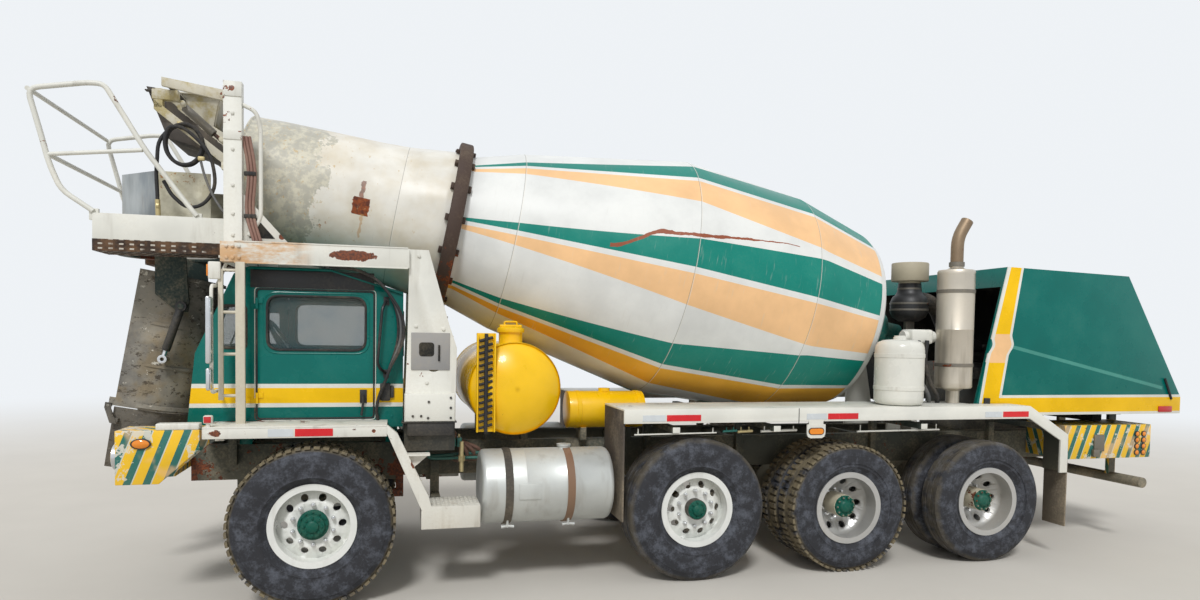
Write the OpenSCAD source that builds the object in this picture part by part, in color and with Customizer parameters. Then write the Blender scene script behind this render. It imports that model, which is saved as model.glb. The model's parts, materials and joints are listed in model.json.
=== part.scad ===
// Front-discharge concrete mixer truck with four axles, in millimetres.
// +X points to the front, +Y to the driver's left and +Z up. The origin is on the ground under the middle.
// Lengths along the truck are distances behind the front axle, so what is ahead of it is negative.

/* [Chassis] */
// Reach of the guard rail ahead of the front axle
nose = 1880; // [1860:10:1900]
// Reach of the hood behind the front axle
tail = 7980; // [7960:10:8000]
// Pusher axle behind the front axle
pusher_back = 2870; // [2850:10:2900]
// First tandem axle behind the front axle
tandem_back = 4210; // [4190:10:4230]
// Distance between the two tandem axles
tandem_pitch = 1370; // [1350:10:1390]
// Width over the tyres and fenders
overall_w = 2440; // [2420:10:2480]
// Height of the top of the frame rails
frame_top = 1050; // [1040:5:1060]
// Height of a frame rail
rail_h = 270; // [250:10:280]
// Width over the frame rails
rail_gauge = 860; // [850:10:870]
// Width of a rail's flange
rail_flange = 80; // [60:5:90]
// Plate thickness of the rails
rail_wall = 10; // [8:1:12]

/* [Wheels] */
// Diameter of the wide tyres on the front and pusher axles
steer_tyre_d = 1130; // [1110:10:1140]
// Width of the wide tyres
steer_tyre_w = 400; // [380:10:410]
// Diameter of the twin tyres
drive_tyre_d = 1060; // [1040:10:1070]
// Width of one twin tyre
drive_tyre_w = 275; // [260:5:285]
// Distance between the middles of twin tyres
dual_pitch = 325; // [315:5:335]
// Diameter over the rim flanges
rim_d = 597; // [590:1:604]
// Kingpin distance from the middle
kingpin_y = 790; // [780:5:800]

/* [Cab] */
// Half width of the cab
cab_half = 850; // [840:5:855]
// Underside of the cab floor
cab_floor = 1220; // [1200:5:1230]
// Height of the roof
cab_roof = 2385; // [2370:5:2390]
// Thickness of the walls and doors
cab_wall = 50; // [40:2:60]
// Front edge of the doors ahead of the front axle
door_front = 410; // [400:5:420]
// Rear edge of the doors behind the front axle
door_rear = 400; // [390:5:420]

/* [Stand and platform] */
// Underside of the beams beside the roof
beam_z = 2400; // [2398:2:2410]
// Height of those beams
beam_h = 140; // [120:5:145]
// Outer faces of the beams from the middle
beam_out = 1000; // [990:5:1010]
// Height of the tops of the masts
mast_top = 3670; // [3650:10:3700]
// Underside of the platform floor
platform_z = 2545; // [2541:2:2560]
// Height of the top of the guard rail
guard_top = 3610; // [3590:10:3640]
// Radius of the guard rail's tube
tube_r = 18; // [15:1:20]

/* [Drum] */
// Height of the drum's axis at the track ring
drum_z = 2824; // [2820:2:2840]
// Distance of the track ring behind the front axle
drum_back = 1000; // [990:5:1010]
// Tilt of the drum's axis
drum_tilt = 10.65; // [10.5:0.05:10.8]
// Largest radius of the drum
drum_r = 1070; // [1060:5:1075]
// Thickness of the drum's wall
drum_wall = 8; // [6:1:12]
// Radius of the track ring
ring_r = 735; // [725:5:740]
// Width of the track ring
ring_w = 110; // [100:5:120]
// Radius of the drum rollers
roller_r = 120; // [110:5:125]

/* [Chute] */
// Swing axis of the chute ahead of the front axle
swing_front = 1140; // [1130:5:1150]
// Height of the trunnions
trunnion_z = 2250; // [2240:5:2255]
// Inner radius of the chute
chute_r = 300; // [290:5:305]
// Height of the straight sides of the chute
chute_side = 210; // [200:5:220]
// Thickness of the chute plate
chute_wall = 12; // [8:1:14]
// Length of the main chute below its trunnions
chute_l = 950; // [930:10:960]
// Length of the folding chute
fold_l = 460; // [440:10:470]
// Angle at which the lowered chute hangs ahead of the vertical
hang = 10; // [9:0.5:11]

/* [Tanks and engine] */
// Radius of the water tank
water_r = 355; // [340:5:360]
// Half length of the water tank
water_half = 900; // [860:10:920]
// Radius of the fuel tanks
fuel_r = 285; // [270:5:290]
// Length of the fuel tanks
fuel_l = 1010; // [980:10:1020]
// Radius of the silencer
muffler_r = 160; // [150:5:165]
// Half width of the engine hood
hood_half = 950; // [940:5:960]
// Height of the front of the hood's top
hood_top = 2610; // [2600:5:2630]
// Thickness of the hood
hood_wall = 40; // [30:2:44]

/* [Hidden] */
$fn = 48;
// Gap between pieces that bear on each other but move apart
fit = 0.3;
// Running gap round the doors
door_gap = 6;
front_axle_x = (tail - nose) / 2;
side = overall_w / 2;
rail_y = rail_gauge / 2;
rail_low = frame_top - rail_h;
steer_z = steer_tyre_d / 2;
drive_z = drive_tyre_d / 2;
single_y = side - steer_tyre_w / 2;
outer_twin_y = side - drive_tyre_w / 2;
twin_y = outer_twin_y - dual_pitch / 2;
rear_back = tandem_back + tandem_pitch;

// World X of a place that lies this far behind the front axle
function at(back) = front_axle_x - back;
// Places along the drum's axis, rearward from the track ring
function drum_at(s) = drum_back + s * cos(drum_tilt);
function drum_up(s) = drum_z - s * sin(drum_tilt);

// Block from its limits
module block(b0, b1, y0, y1, z0, z1) {
    translate([at(b1), y0, z0]) cube([b1 - b0, y1 - y0, z1 - z0]);
}
// The same piece on the left and on the right
module both() {
    children();
    mirror([0, 1, 0]) children();
}
// Outline in the side view, as [back, height] points, between two widths
module side_plate(points, y0, y1) {
    translate([0, y1, 0]) rotate([90, 0, 0]) linear_extrude(y1 - y0)
        polygon([for (p = points) [at(p[0]), p[1]]]);
}
// Round bar between two places given as [back, y, z]
module bar(p, q, r, sides = 24) {
    v = [p[0] - q[0], q[1] - p[1], q[2] - p[2]];
    l = norm(v);
    translate([at(p[0]), p[1], p[2]])
        rotate([0, acos(v[2] / l), atan2(v[1], v[0])]) cylinder(h = l, r = r, $fn = sides);
}
// Round bars along a route with a ball at each bend
module tube_route(points, r, sides = 24) {
    for (i = [0 : len(points) - 2]) bar(points[i], points[i + 1], r, sides);
    for (p = points) translate([at(p[0]), p[1], p[2]]) sphere(r = r + 1, $fn = sides);
}
// Local frame of the drum: +Z runs rearward along its axis from the track ring, and +X points up
module drum_place() {
    translate([at(drum_back), 0, drum_z]) rotate([0, -(90 + drum_tilt), 0]) children();
}
// Cylinder across the truck
module across(back, y0, y1, z, r) {
    translate([at(back), y1, z]) rotate([90, 0, 0]) cylinder(h = y1 - y0, r = r);
}

// Ladder frame with its cross-members
rail_front = 940;
rail_rear = 7780;
cross_backs = [-930, -640, 560, 2500, 3540, 4895, 5700, 7700];
cross_w = 60;
module frame_rails() {
    color("darkslategray") {
        both() difference() {
            block(-rail_front, rail_rear, rail_y - rail_flange, rail_y, rail_low, frame_top);
            block(-rail_front - 1, rail_rear + 1, rail_y - rail_flange - 1, rail_y - rail_wall,
                  rail_low + rail_wall, frame_top - rail_wall);
        }
        for (b = cross_backs)
            block(b, b + cross_w, -rail_y + rail_wall, rail_y - rail_wall, rail_low + 30, frame_top - 30);
        // Tow plate at the tail
        block(rail_rear, rail_rear + 20, -rail_y - 60, rail_y + 60, rail_low, frame_top);
        // Pintle that takes a tow bar
        block(rail_rear + 20, rail_rear + 90, -60, 60, 860, 960);
    }
}

// Two steel boxes ahead of the wheels, joined by a set-back beam
bumper_front = 1230;
bumper_rear = 720;
bumper_low = 890;
bumper_top = 1250;
bumper_in = cab_half + 10;
bumper_out = 1150;
bumper_wall = 8;
lamp_r = 85;
bumper_outline = [[-bumper_front, bumper_low], [-970, bumper_low], [-bumper_rear, 1120],
                  [-bumper_rear, bumper_top], [-bumper_front, bumper_top]];
module front_bumper() {
    color("white") {
        both() {
            side_plate(bumper_outline, bumper_out - bumper_wall, bumper_out);
            side_plate(bumper_outline, bumper_in, bumper_in + bumper_wall);
            block(-bumper_front, -bumper_front + bumper_wall, bumper_in, bumper_out, bumper_low, bumper_top);
            block(-bumper_front, -bumper_rear, bumper_in, bumper_out, bumper_top - bumper_wall, bumper_top);
        }
        block(-1000, -rail_front, -bumper_in, bumper_in, bumper_low, bumper_low + 180);
    }
    color("lightgray") both() for (y = [890, 1060])
        translate([at(-bumper_front), y, 1070]) rotate([0, 90, 0]) cylinder(h = 30, r = lamp_r - 5);
}

// Flat deck over each front wheel, with the leg and the step behind it
fender_top = 1275;
fender_t = 12;
fender_in = cab_half + 2;
leg_top = 500;
leg_low = 750;
step_rear = 1160;
step_z = 520;
module front_fenders() {
    color("white") both() {
        // The deck, its skirt and the leg are bolted together
        block(-690, leg_top - fit, fender_in, side, fender_top - fender_t, fender_top);
        block(-690, leg_top - fit, side - fender_t, side, fender_top - 80, fender_top - fender_t - fit);
        side_plate([[leg_top, fender_top], [leg_top, fender_top - 60], [leg_low, 640], [leg_low + 70, 640],
                    [leg_low + 40, 760], [leg_top + 70, fender_top - 60]], side - 60, side);
        side_plate([[leg_top, fender_top - 70], [leg_low - 10, 650], [leg_low + 5, 650],
                    [leg_top + 15, fender_top - 60]], 880, side - 60);
        block(leg_low - 10, leg_low + 10, 880, side, step_z, 650);
        block(leg_low + 10, step_rear, 880, side, step_z + 150, step_z + 162);
        block(leg_low + 10, step_rear, side - fender_t, side, step_z, step_z + 150);
        block(leg_low + 10, step_rear, 880, 880 + fender_t, step_z, step_z + 150);
    }
    // Brackets that carry the deck and the step from the frame
    color("dimgray") both() {
        block(-670, -610, rail_y, fender_in + 80, 1145, 1200);
        block(-670, -610, fender_in, fender_in + 80, 1200, fender_top - fender_t - fit);
        block(-670, -610, rail_y, rail_y + 60, 900, 1145);
        block(830, 900, rail_y, 880, step_z + 60, step_z + 130);
        block(830, 900, rail_y, rail_y + 60, step_z + 130, 900);
    }
}

// Cab shell with openings for the doors and windows
cab_outline = [[-870, cab_floor], [-815, 1760], [-560, cab_roof - 55], [-460, cab_roof], [80, cab_roof],
               [610, cab_roof - 155], [610, cab_floor]];
cab_inner = [[-870 + cab_wall + 5, cab_floor + cab_wall], [-815 + cab_wall, 1750],
             [-560 + cab_wall - 5, cab_roof - 90], [-450 + 10, cab_roof - cab_wall], [70, cab_roof - cab_wall],
             [610 - cab_wall, cab_roof - 150 - cab_wall], [610 - cab_wall, cab_floor + cab_wall]];
door_low = 1290;
door_high = 2225;
screen_low = 1800;
screen_high = 2300;
function screen_back(z) = -815 + (z - 1760) * 255 / (cab_roof - 55 - 1760);
module cab_shell() {
    color("darkgreen") difference() {
        side_plate(cab_outline, -cab_half, cab_half);
        side_plate(cab_inner, -cab_half + cab_wall, cab_half - cab_wall);
        both() block(-door_front, door_rear, cab_half - cab_wall - 1, cab_half + 1, door_low, door_high);
        // Windscreen
        side_plate([[screen_back(screen_low) - 40, screen_low], [screen_back(screen_low) + 100, screen_low],
                    [screen_back(screen_high) + 100, screen_high], [screen_back(screen_high) - 40, screen_high]],
                   -740, 740);
        // Rear window
        block(500, 620, -600, 600, 1750, 2090);
        // Corner windows ahead of the doors
        both() block(-640, -480, cab_half - cab_wall - 1, cab_half + 1, screen_low, 2100);
    }
    color("darkgreen") both() hinge_leaf(hinge_back - 40, 0, 40);
    // Rubber mounts between the cab and the frame
    color("dimgray") both() for (b = [-600, 480])
        block(b, b + 90, rail_y - rail_flange, rail_y, frame_top, cab_floor);
}

glass_t = 8;
// Door hinges stand on the outside at the front edge of each door
hinge_back = -door_front + 3;
hinge_y = cab_half + 12;
hinge_heights = [1400, 2080];
module hinge_leaf(to_back, low, high) {
    for (z = hinge_heights) {
        translate([at(hinge_back), hinge_y, z + low]) cylinder(h = high - low, r = 10);
        block(min(hinge_back, to_back), max(hinge_back, to_back), cab_half, cab_half + 8, z + low, z + high);
    }
}
module cab_glass() {
    color("lightblue", 0.4) {
        side_plate([[screen_back(screen_low) + 6, screen_low], [screen_back(screen_low) + 6 + glass_t, screen_low],
                    [screen_back(screen_high) + 6 + glass_t, screen_high], [screen_back(screen_high) + 6, screen_high]],
                   -740, 740);
        block(590, 590 + glass_t, -600, 600, 1750, 2090);
        both() block(-640, -480, cab_half - 20, cab_half - 20 + glass_t, screen_low, 2100);
    }
}

module driver_seat() {
    color("dimgray") {
        block(60, 420, -200, 200, cab_floor + cab_wall, 1600);
        block(0, 500, -260, 260, 1600, 1720);
        side_plate([[430, 1720], [530, 1720], [550, 2090], [470, 2090]], -240, 240);
    }
}

wheel_tube = 16;
steering_r = 230;
module steering_console() {
    color("black") {
        side_plate([[-780, cab_floor + cab_wall], [-560, cab_floor + cab_wall], [-560, 1600], [-640, 1760],
                    [-740, 1760]], -700, 700);
        bar([-620, 0, 1631], [-330, 0, 1800], 30);
        translate([at(-330), 0, 1800]) rotate([0, -60, 0]) {
            rotate_extrude() translate([steering_r, 0]) circle(r = wheel_tube, $fn = 24);
            cylinder(h = 24, r = 60, center = true);
            for (a = [30, 150, 270]) rotate([0, 0, a]) translate([0, -14, -8]) cube([steering_r, 28, 16]);
        }
    }
}

// Left door at its closed place
glass_low = 1790;
glass_high = 2180;
glass_front = 340;
glass_rear = 340;
module door() {
    difference() {
        block(-door_front + door_gap, door_rear - door_gap, cab_half - cab_wall, cab_half,
              door_low + door_gap, door_high - door_gap);
        block(-glass_front, glass_rear, cab_half - cab_wall - 1, cab_half + 1, glass_low, glass_high);
    }
    hinge_leaf(hinge_back + 40, 40 + fit, 80);
}
module door_glass() {
    color("lightblue", 0.4)
        block(-glass_front, glass_rear, cab_half - 30, cab_half - 30 + glass_t, glass_low, glass_high);
}
module door_left() { color("darkgreen") door(); }
module door_right() { color("darkgreen") mirror([0, 1, 0]) door(); }
module door_glass_left() { door_glass(); }
module door_glass_right() { mirror([0, 1, 0]) door_glass(); }

// West-coast mirrors on tube frames ahead of the doors
mirror_back = -652;
mirror_y = 1110;
module mirrors() {
    both() {
        color("dimgray") {
            tube_route([[mirror_back, cab_half + 13, 1500], [mirror_back, mirror_y, 1500],
                        [mirror_back, mirror_y, 2230], [mirror_back, beam_out - 60, 2230],
                        [mirror_back + 60, beam_out - 60, beam_z - 13]], 12);
        }
        color("silver") block(mirror_back - 14, mirror_back + 14, mirror_y + 12, mirror_y + 102, 1620, 2150);
    }
}

// Ladder beside the left front post of the stand
ladder_y0 = beam_out - 15;
ladder_y1 = beam_out + 15;
ladder_step = 290;
module ladder() {
    color("white") {
        block(-520, -460, ladder_y0, ladder_y1, fender_top, beam_z);
        block(-630, -600, ladder_y0, ladder_y1, 1440, 2345);
        for (z = [1470 : ladder_step : 2340])
            translate([at(-520), beam_out, z]) rotate([0, 90, 0]) cylinder(h = 80, r = 11, $fn = 16);
    }
}

// Stand over the cab: cross-beam on the frame, legs, roof beams and masts
stand_front = 620;
stand_rear = 990;
leg_y0 = 880;
leg_y1 = 960;
mast_front = -620;
mast_rear = -500;
mast_y0 = 800;
mast_y1 = 880;
cradle_z = 1790;
module front_support() {
    color("white") {
        block(stand_front, stand_rear, -leg_y1, leg_y1, frame_top, cab_floor + 50);
        both() {
            difference() {
                side_plate([[stand_front, cab_floor + 50], [stand_rear, cab_floor + 50], [1000, 1820],
                            [940, 2000], [790, beam_z + beam_h], [stand_front + 30, beam_z + beam_h],
                            [640, 1900]],
                           leg_y0, leg_y1);
                across(830, leg_y0 - 1, leg_y1 + 1, 1700, 60);
            }
            block(mast_rear, stand_front + 30, leg_y0, beam_out, beam_z, beam_z + beam_h);
            block(mast_front, mast_rear, mast_y0, beam_out, beam_z, beam_z + beam_h);
            block(mast_front, mast_rear, mast_y0, mast_y1, beam_z + beam_h, mast_top);
            side_plate([[mast_rear, beam_z + beam_h], [-180, beam_z + beam_h], [mast_rear, 2900]], 830, 850);
            block(stand_front, stand_rear, leg_y1, 1000, cab_floor + 50, 1480);
        }
        // Beam between the masts, and the cradle beam under the track ring
        block(mast_front, mast_rear, -mast_y0, mast_y0, beam_z, beam_z + beam_h);
        block(760, 980, -leg_y0, leg_y0, cradle_z, cradle_z + 120);
    }
}

// Two rollers that carry the track ring, on brackets of the cradle beam
roller_y = 350;
roller_drop = sqrt(pow(ring_r + roller_r + fit, 2) - pow(roller_y, 2));
roller_back = drum_back - roller_drop * sin(drum_tilt);
roller_z = drum_z - roller_drop * cos(drum_tilt);
module drum_rollers() {
    color("dimgray") drum_place() both() translate([-roller_drop, roller_y, 0]) {
        translate([0, 0, -60]) cylinder(h = 120, r = roller_r);
        translate([0, 0, -110]) cylinder(h = 220, r = 30);
    }
    color("gray") both() for (s = [-1, 1])
        block(roller_back + s * 85 - 12, roller_back + s * 85 + 12, roller_y - 70, roller_y + 70,
              cradle_z + 120, roller_z + 20);
}

// Platform ahead of the masts, with the hole that the concrete drops through
platform_half = 750;
platform_front = 1480;
platform_rear = 620;
floor_t = 10;
coaming_h = 180;
hole_r = 345;
turn_ring_h = 30;
apron_h = 80;
module platform() {
    color("white") {
        difference() {
            union() {
                block(-platform_front, -platform_rear, -platform_half, platform_half, platform_z,
                      platform_z + floor_t);
                both() block(-platform_front, -platform_rear, platform_half - 12, platform_half,
                             platform_z - apron_h, platform_z + coaming_h);
                block(-platform_front, -platform_front + 12, -platform_half, platform_half, platform_z,
                      platform_z + coaming_h);
                both() block(-platform_front, -platform_front + 12, 420, platform_half, platform_z - apron_h,
                             platform_z);
                both() block(-platform_front, -platform_rear, 420, 480, platform_z - 80, platform_z);
                block(-platform_rear - 60, -platform_rear, -platform_half, platform_half, platform_z - 100,
                      platform_z);
            }
            translate([at(-swing_front), 0, platform_z - 1]) cylinder(h = floor_t + 2, r = hole_r);
        }
        // Fixed ring that the chute's yoke turns in
        translate([at(-swing_front), 0, 0]) rotate_extrude($fn = 64)
            translate([hole_r, platform_z - turn_ring_h]) square([60, turn_ring_h]);
    }
}

// Guard rail round the platform
module platform_rail() {
    // The eight-sided balls reach down to the cosine of half a side's angle
    rail_foot = platform_z + coaming_h + fit + (tube_r + 1) * cos(180 / 8);
    g_y = platform_half - 6;
    color("white") {
        both() {
            tube_route([[-820, g_y, rail_foot], [-880, g_y, 2810], [-1150, g_y, 3180], [-1400, g_y, guard_top],
                        [-1500, g_y, guard_top], [-nose + tube_r, g_y, guard_top - 70]], tube_r, 8);
            tube_route([[-nose + tube_r, g_y, guard_top - 70], [-1780, g_y, 3220], [-1740, g_y, 3050],
                        [-1670, g_y, 2870], [-1474, g_y, rail_foot]], tube_r, 8);
            bar([-1745, g_y, 3105], [-1165, g_y, 3175], tube_r - 4, 8);
        }
        for (p = [[-nose + tube_r, guard_top - 70], [-1745, 3105]])
            bar([p[0], -g_y, p[1]], [p[0], g_y, p[1]], tube_r - 2, 8);
    }
}

// Collector below the drum's mouth, which leads to the hole in the platform
collector_half = 460;
collector_wall = 10;
collector_top = 3090;
collector_rear = -790;
collector_turn = -1160;
collector_front = -1460;
collector_nose = 200;
module collector_plan() {
    polygon([for (p = [[collector_rear, collector_half], [collector_turn, collector_half],
                       [collector_front, collector_nose], [collector_front, -collector_nose],
                       [collector_turn, -collector_half], [collector_rear, -collector_half]]) [at(p[0]), p[1]]]);
}
module discharge_hopper() {
    color("lightgray") {
        // Walls, open to the rear
        translate([0, 0, platform_z + floor_t]) linear_extrude(collector_top - platform_z - floor_t) difference() {
            collector_plan();
            offset(delta = -collector_wall) collector_plan();
            translate([at(collector_rear) - 1, -collector_half + collector_wall])
                square([collector_wall + 2, 2 * (collector_half - collector_wall)]);
        }
        side_plate([[-850, platform_z + floor_t], [-840, platform_z + floor_t], [-840, 2610], [-735, 2610],
                    [-735, 2620], [-850, 2620]], -collector_half, collector_half);
    }
}

// Charging hopper above the mouth, on arms that hinge at the masts
hopper_pin_back = -560;
hopper_pin_z = 3590;
hopper_wall = 8;
hopper_joint = 3480;
// The funnel is bolted together from a lower and an upper part
module charge_hopper() {
    color("lightgray") difference() {
        funnel();
        block(-1300, -400, -400, 400, hopper_joint, hopper_joint + fit);
    }
    color("dimgray") both() {
        bar([-1010, 308 + fit, 3660], [-1010, 730, 3660], 20);
        side_plate([[-1040, 3630], [-1040, 3690], [hopper_pin_back - 30, 3630],
                    [hopper_pin_back + 30, 3590], [hopper_pin_back - 20, 3550]], 730, 760);
        across(hopper_pin_back, 760, mast_y0 - fit, hopper_pin_z, 20);
    }
}
module funnel() {
    union() {
        // Front and side walls of the funnel
        both() side_plate([[-1260, 3740], [-1120, 3370], [-960, 3330], [-500, 3150], [-500, 3290], [-800, 3480],
                           [-760, 3700]], 300, 300 + hopper_wall);
        side_plate([[-1260, 3740], [-1120, 3370], [-960, 3330], [-500, 3150], [-500, 3158], [-957, 3338],
                    [-1114, 3377], [-1251, 3740]], -300, 300);
        side_plate([[-760, 3700], [-800, 3480], [-792, 3480], [-752, 3700]], -300, 300);
        // Rim
        both() block(-1260, -752, 300, 300 + hopper_wall + 40, 3700, 3708);
    }
}

// Yoke that turns under the platform and holds the trunnions
arm_gap = 8;
arm_t = 28;
pin_r = 22;
arm_in = chute_r + chute_wall + arm_gap;
arm_out = arm_in + arm_t;
yoke_z = platform_z - turn_ring_h;
yoke_t = 20;
barrel_pin = [130, 150];
module chute_pivot() {
    color("gray") {
        translate([at(-swing_front), 0, 0]) rotate_extrude($fn = 64)
            translate([arm_in, yoke_z - yoke_t]) square([85, yoke_t - fit]);
        both() {
            side_plate([[-swing_front - 60, yoke_z - yoke_t], [-swing_front + 150, yoke_z - yoke_t],
                        [-swing_front + barrel_pin[0] + 40, trunnion_z - barrel_pin[1] + 30],
                        [-swing_front + barrel_pin[0] + 30, trunnion_z - barrel_pin[1] - 40],
                        [-swing_front + barrel_pin[0] - 40, trunnion_z - barrel_pin[1] - 40],
                        [-swing_front - 60, trunnion_z - 60]], arm_in, arm_out);
            // Trunnion pin and barrel pin
            across(-swing_front, arm_in - arm_gap + fit, arm_in, trunnion_z, pin_r);
            across(-swing_front + barrel_pin[0], arm_out, cyl_y + 26, trunnion_z - barrel_pin[1], pin_r);
        }
    }
}

// Local frame of the lowered chute: origin at the trunnions, +X to the open side, -Z down the chute
module chute_place() {
    translate([at(-swing_front), 0, trunnion_z]) rotate([0, -hang, 0]) children();
}
trough_x = -20;
module trough_section(r) {
    translate([trough_x, 0]) {
        circle(r = r);
        translate([0, -r]) square([chute_side, 2 * r]);
    }
}
module trough_plan() {
    difference() {
        trough_section(chute_r + chute_wall);
        trough_section(chute_r);
        translate([trough_x + chute_side - 1, -chute_r * 2]) square([chute_r, chute_r * 4]);
    }
}
chute_head = 100;
fold_gap = 8;
lug_l = 550;
lug_turn = hang;
fold_x = trough_x + chute_side + 30;
hinge_r = 16;
knuckle_l = 36;
fold_pin = 10;
fold_strap = 12;
cyl_y = arm_out + 45;
eye_w = 40;
lug_y = sqrt(pow(chute_r + 2, 2) - pow(lug_l * sin(lug_turn) + trough_x, 2));
barrel_r = 30;
rod_r = 16;
module main_chute() {
    color("gray") chute_place() {
        translate([0, 0, -chute_l]) linear_extrude(chute_l + chute_head) trough_plan();
        // Lug pins that the rod eyes pull on
        both() rotate([0, lug_turn, 0]) translate([0, lug_y, -lug_l]) rotate([-90, 0, 0])
            cylinder(h = cyl_y - eye_w / 2 - fit - lug_y, r = pin_r);
        // Hinge knuckles for the folding chute
        both() translate([fold_x, chute_r, -chute_l]) rotate([-90, 0, 0]) {
            cylinder(h = knuckle_l, r = hinge_r);
            cylinder(h = knuckle_l + fold_strap + 4, r = fold_pin);
        }
        both() translate([fold_x - 50, chute_r, -chute_l]) cube([60, chute_wall, 60]);
    }
}
module folding_chute() {
    color("gray") chute_place() translate([0, 0, -chute_l - fold_gap]) {
        mirror([0, 0, 1]) translate([trough_x + chute_side, 0, 0])
            linear_extrude(fold_l, scale = [0.45, 0.9], slices = 1) translate([-trough_x - chute_side, 0]) trough_plan();
        // Hinge straps outside the main chute
        both() translate([fold_x, 0, fold_gap]) {
            difference() {
                translate([0, chute_r + knuckle_l + 2 + fold_strap, 0]) rotate([90, 0, 0])
                    linear_extrude(fold_strap) polygon([[-22, 20], [22, 20], [22, -20], [-31, -130],
                                                        [-80, -130], [-22, -20]]);
                translate([0, chute_r, 0]) rotate([-90, 0, 0]) cylinder(h = 100, r = fold_pin + 0.05);
            }
            translate([-80, chute_r + 4, -130]) cube([45, knuckle_l + 4, 40]);
        }
    }
}

// Lift cylinders: barrels on the yoke, rods towards the lugs
barrel_at = [-swing_front + barrel_pin[0], trunnion_z - barrel_pin[1]];
lug_at = [-swing_front - lug_l * sin(hang - lug_turn), trunnion_z - lug_l * cos(hang - lug_turn)];
cyl_v = [barrel_at[0] - lug_at[0], lug_at[1] - barrel_at[1]];
cyl_l = norm(cyl_v);
cyl_a = atan2(cyl_v[0], -cyl_v[1]);
barrel_l = cyl_l - 70;
// Local frame of a cylinder: -Z runs from the barrel pin towards the lug
module cylinder_place() {
    both() translate([at(barrel_at[0]), cyl_y, barrel_at[1]]) rotate([0, -cyl_a, 0]) children();
}
module lift_barrels() {
    color("darkslategray") cylinder_place() difference() {
        union() {
            translate([0, 0, -barrel_l]) cylinder(h = barrel_l - 30, r = barrel_r);
            rotate([90, 0, 0]) cylinder(h = eye_w, r = pin_r + 16, center = true);
        }
        translate([0, 0, -barrel_l - 1]) cylinder(h = barrel_l - 50, r = rod_r + 0.05);
        rotate([90, 0, 0]) cylinder(h = 60, r = pin_r + 0.05, center = true);
    }
}
module lift_rods() {
    color("silver") cylinder_place() difference() {
        union() {
            translate([0, 0, -cyl_l + 25]) cylinder(h = cyl_l - 95, r = rod_r);
            translate([0, 0, -cyl_l]) rotate([90, 0, 0]) cylinder(h = eye_w, r = pin_r + 10, center = true);
        }
        translate([0, 0, -cyl_l]) rotate([90, 0, 0]) cylinder(h = 90, r = pin_r - 8, center = true);
    }
}

// Outside of the drum, as [place along the axis, radius]; lines run between the seams
drum_mouth = -1650;
drum_tail = 4000;
land = 90;
land_r = 645;
drum_points = [[drum_mouth, 520], [-1400, 540], [-500, 580], [-land, land_r], [land, land_r], [530, 780],
               [2060, drum_r], [3150, 1010], [3720, 860], [3800, 820], [3860, 740], [drum_tail, 420],
               [drum_tail, 0]];
// Inside: the wall thinner, and closed at the rear
drum_cavity = concat([for (p = [drum_points[0]]) [p[0] - 1, p[1] - drum_wall]],
                     [for (i = [0 : len(drum_points) - 4]) [drum_points[i][0], drum_points[i][1] - drum_wall]],
                     [[drum_points[10][0] - 6, drum_points[10][1] - drum_wall],
                      [drum_tail - drum_wall, 415], [drum_tail - drum_wall, 0]]);
module drum_shell() {
    color("ivory") drum_place() difference() {
        rotate_extrude($fn = 96) polygon(concat([for (p = drum_points) [p[1], p[0]]], [[0, drum_mouth]]));
        rotate_extrude($fn = 96) polygon(concat([for (p = drum_cavity) [p[1], p[0]]], [[0, drum_mouth - 1]]));
    }
}
module drum_ring() {
    color("saddlebrown") drum_place() rotate_extrude($fn = 96)
        translate([land_r, -ring_w / 2]) square([ring_r - land_r, ring_w]);
}

// Rear pedestal and the gearbox that turns the drum
drive_face = drum_tail + fit;
drive_back = drum_at(drive_face + 200);
drive_seat = drum_up(drive_face + 200) - 205;
module rear_pedestal() {
    color("white") {
        both() side_plate([[drive_back - 20, frame_top], [drive_back + 330, frame_top],
                           [drive_back + 190, drive_seat - 30], [drive_back + 20, drive_seat - 30]],
                          rail_y - rail_flange, rail_y - rail_flange + 30);
        block(drive_back + 20, drive_back + 190, -rail_y + rail_flange - 30, rail_y - rail_flange + 30,
              drive_seat - 30, drive_seat);
    }
}
module drum_drive() {
    color("dimgray") {
        drum_place() {
            translate([0, 0, drive_face]) cylinder(h = 120, r = 230);
            translate([0, 0, drive_face + 120]) cylinder(h = 180, r = 180);
            translate([0, 0, drive_face + 300]) cylinder(h = 220, r = 100);
        }
        block(drive_back + 30, drive_back + 180, -130, 130, drive_seat, drive_seat + 120);
    }
}

// Water tank across the frame
water_back = 1450;
water_z = 1510;
// Half angle and radius of the domed ends
dome_a = 40;
dome_r = water_r / sin(dome_a);
module water_tank() {
    color("gold") {
        across(water_back, -water_half, water_half, water_z, water_r);
        both() translate([at(water_back), water_half, water_z]) rotate([-90, 0, 0])
            rotate_extrude() intersection() {
                translate([0, -dome_r * cos(dome_a)]) circle(r = dome_r, $fn = 96);
                square([water_r, water_r]);
            }
        translate([at(water_back), 620, water_z + water_r - 30]) cylinder(h = 110, r = 95);
        translate([at(water_back), 620, water_z + water_r + 80]) cylinder(h = 30, r = 110);
    }
    color("dimgray") both() for (b = [water_back - 180, water_back + 120])
        difference() {
            block(b, b + 60, rail_y - rail_flange, rail_y, frame_top, water_z);
            across(water_back, 0, rail_gauge, water_z, water_r - 0.01);
        }
    // Sight gauge on the front left
    color("black") {
        block(water_back - 230, water_back - 200, 800, 850, 1150, 1900);
    }
}

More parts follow.
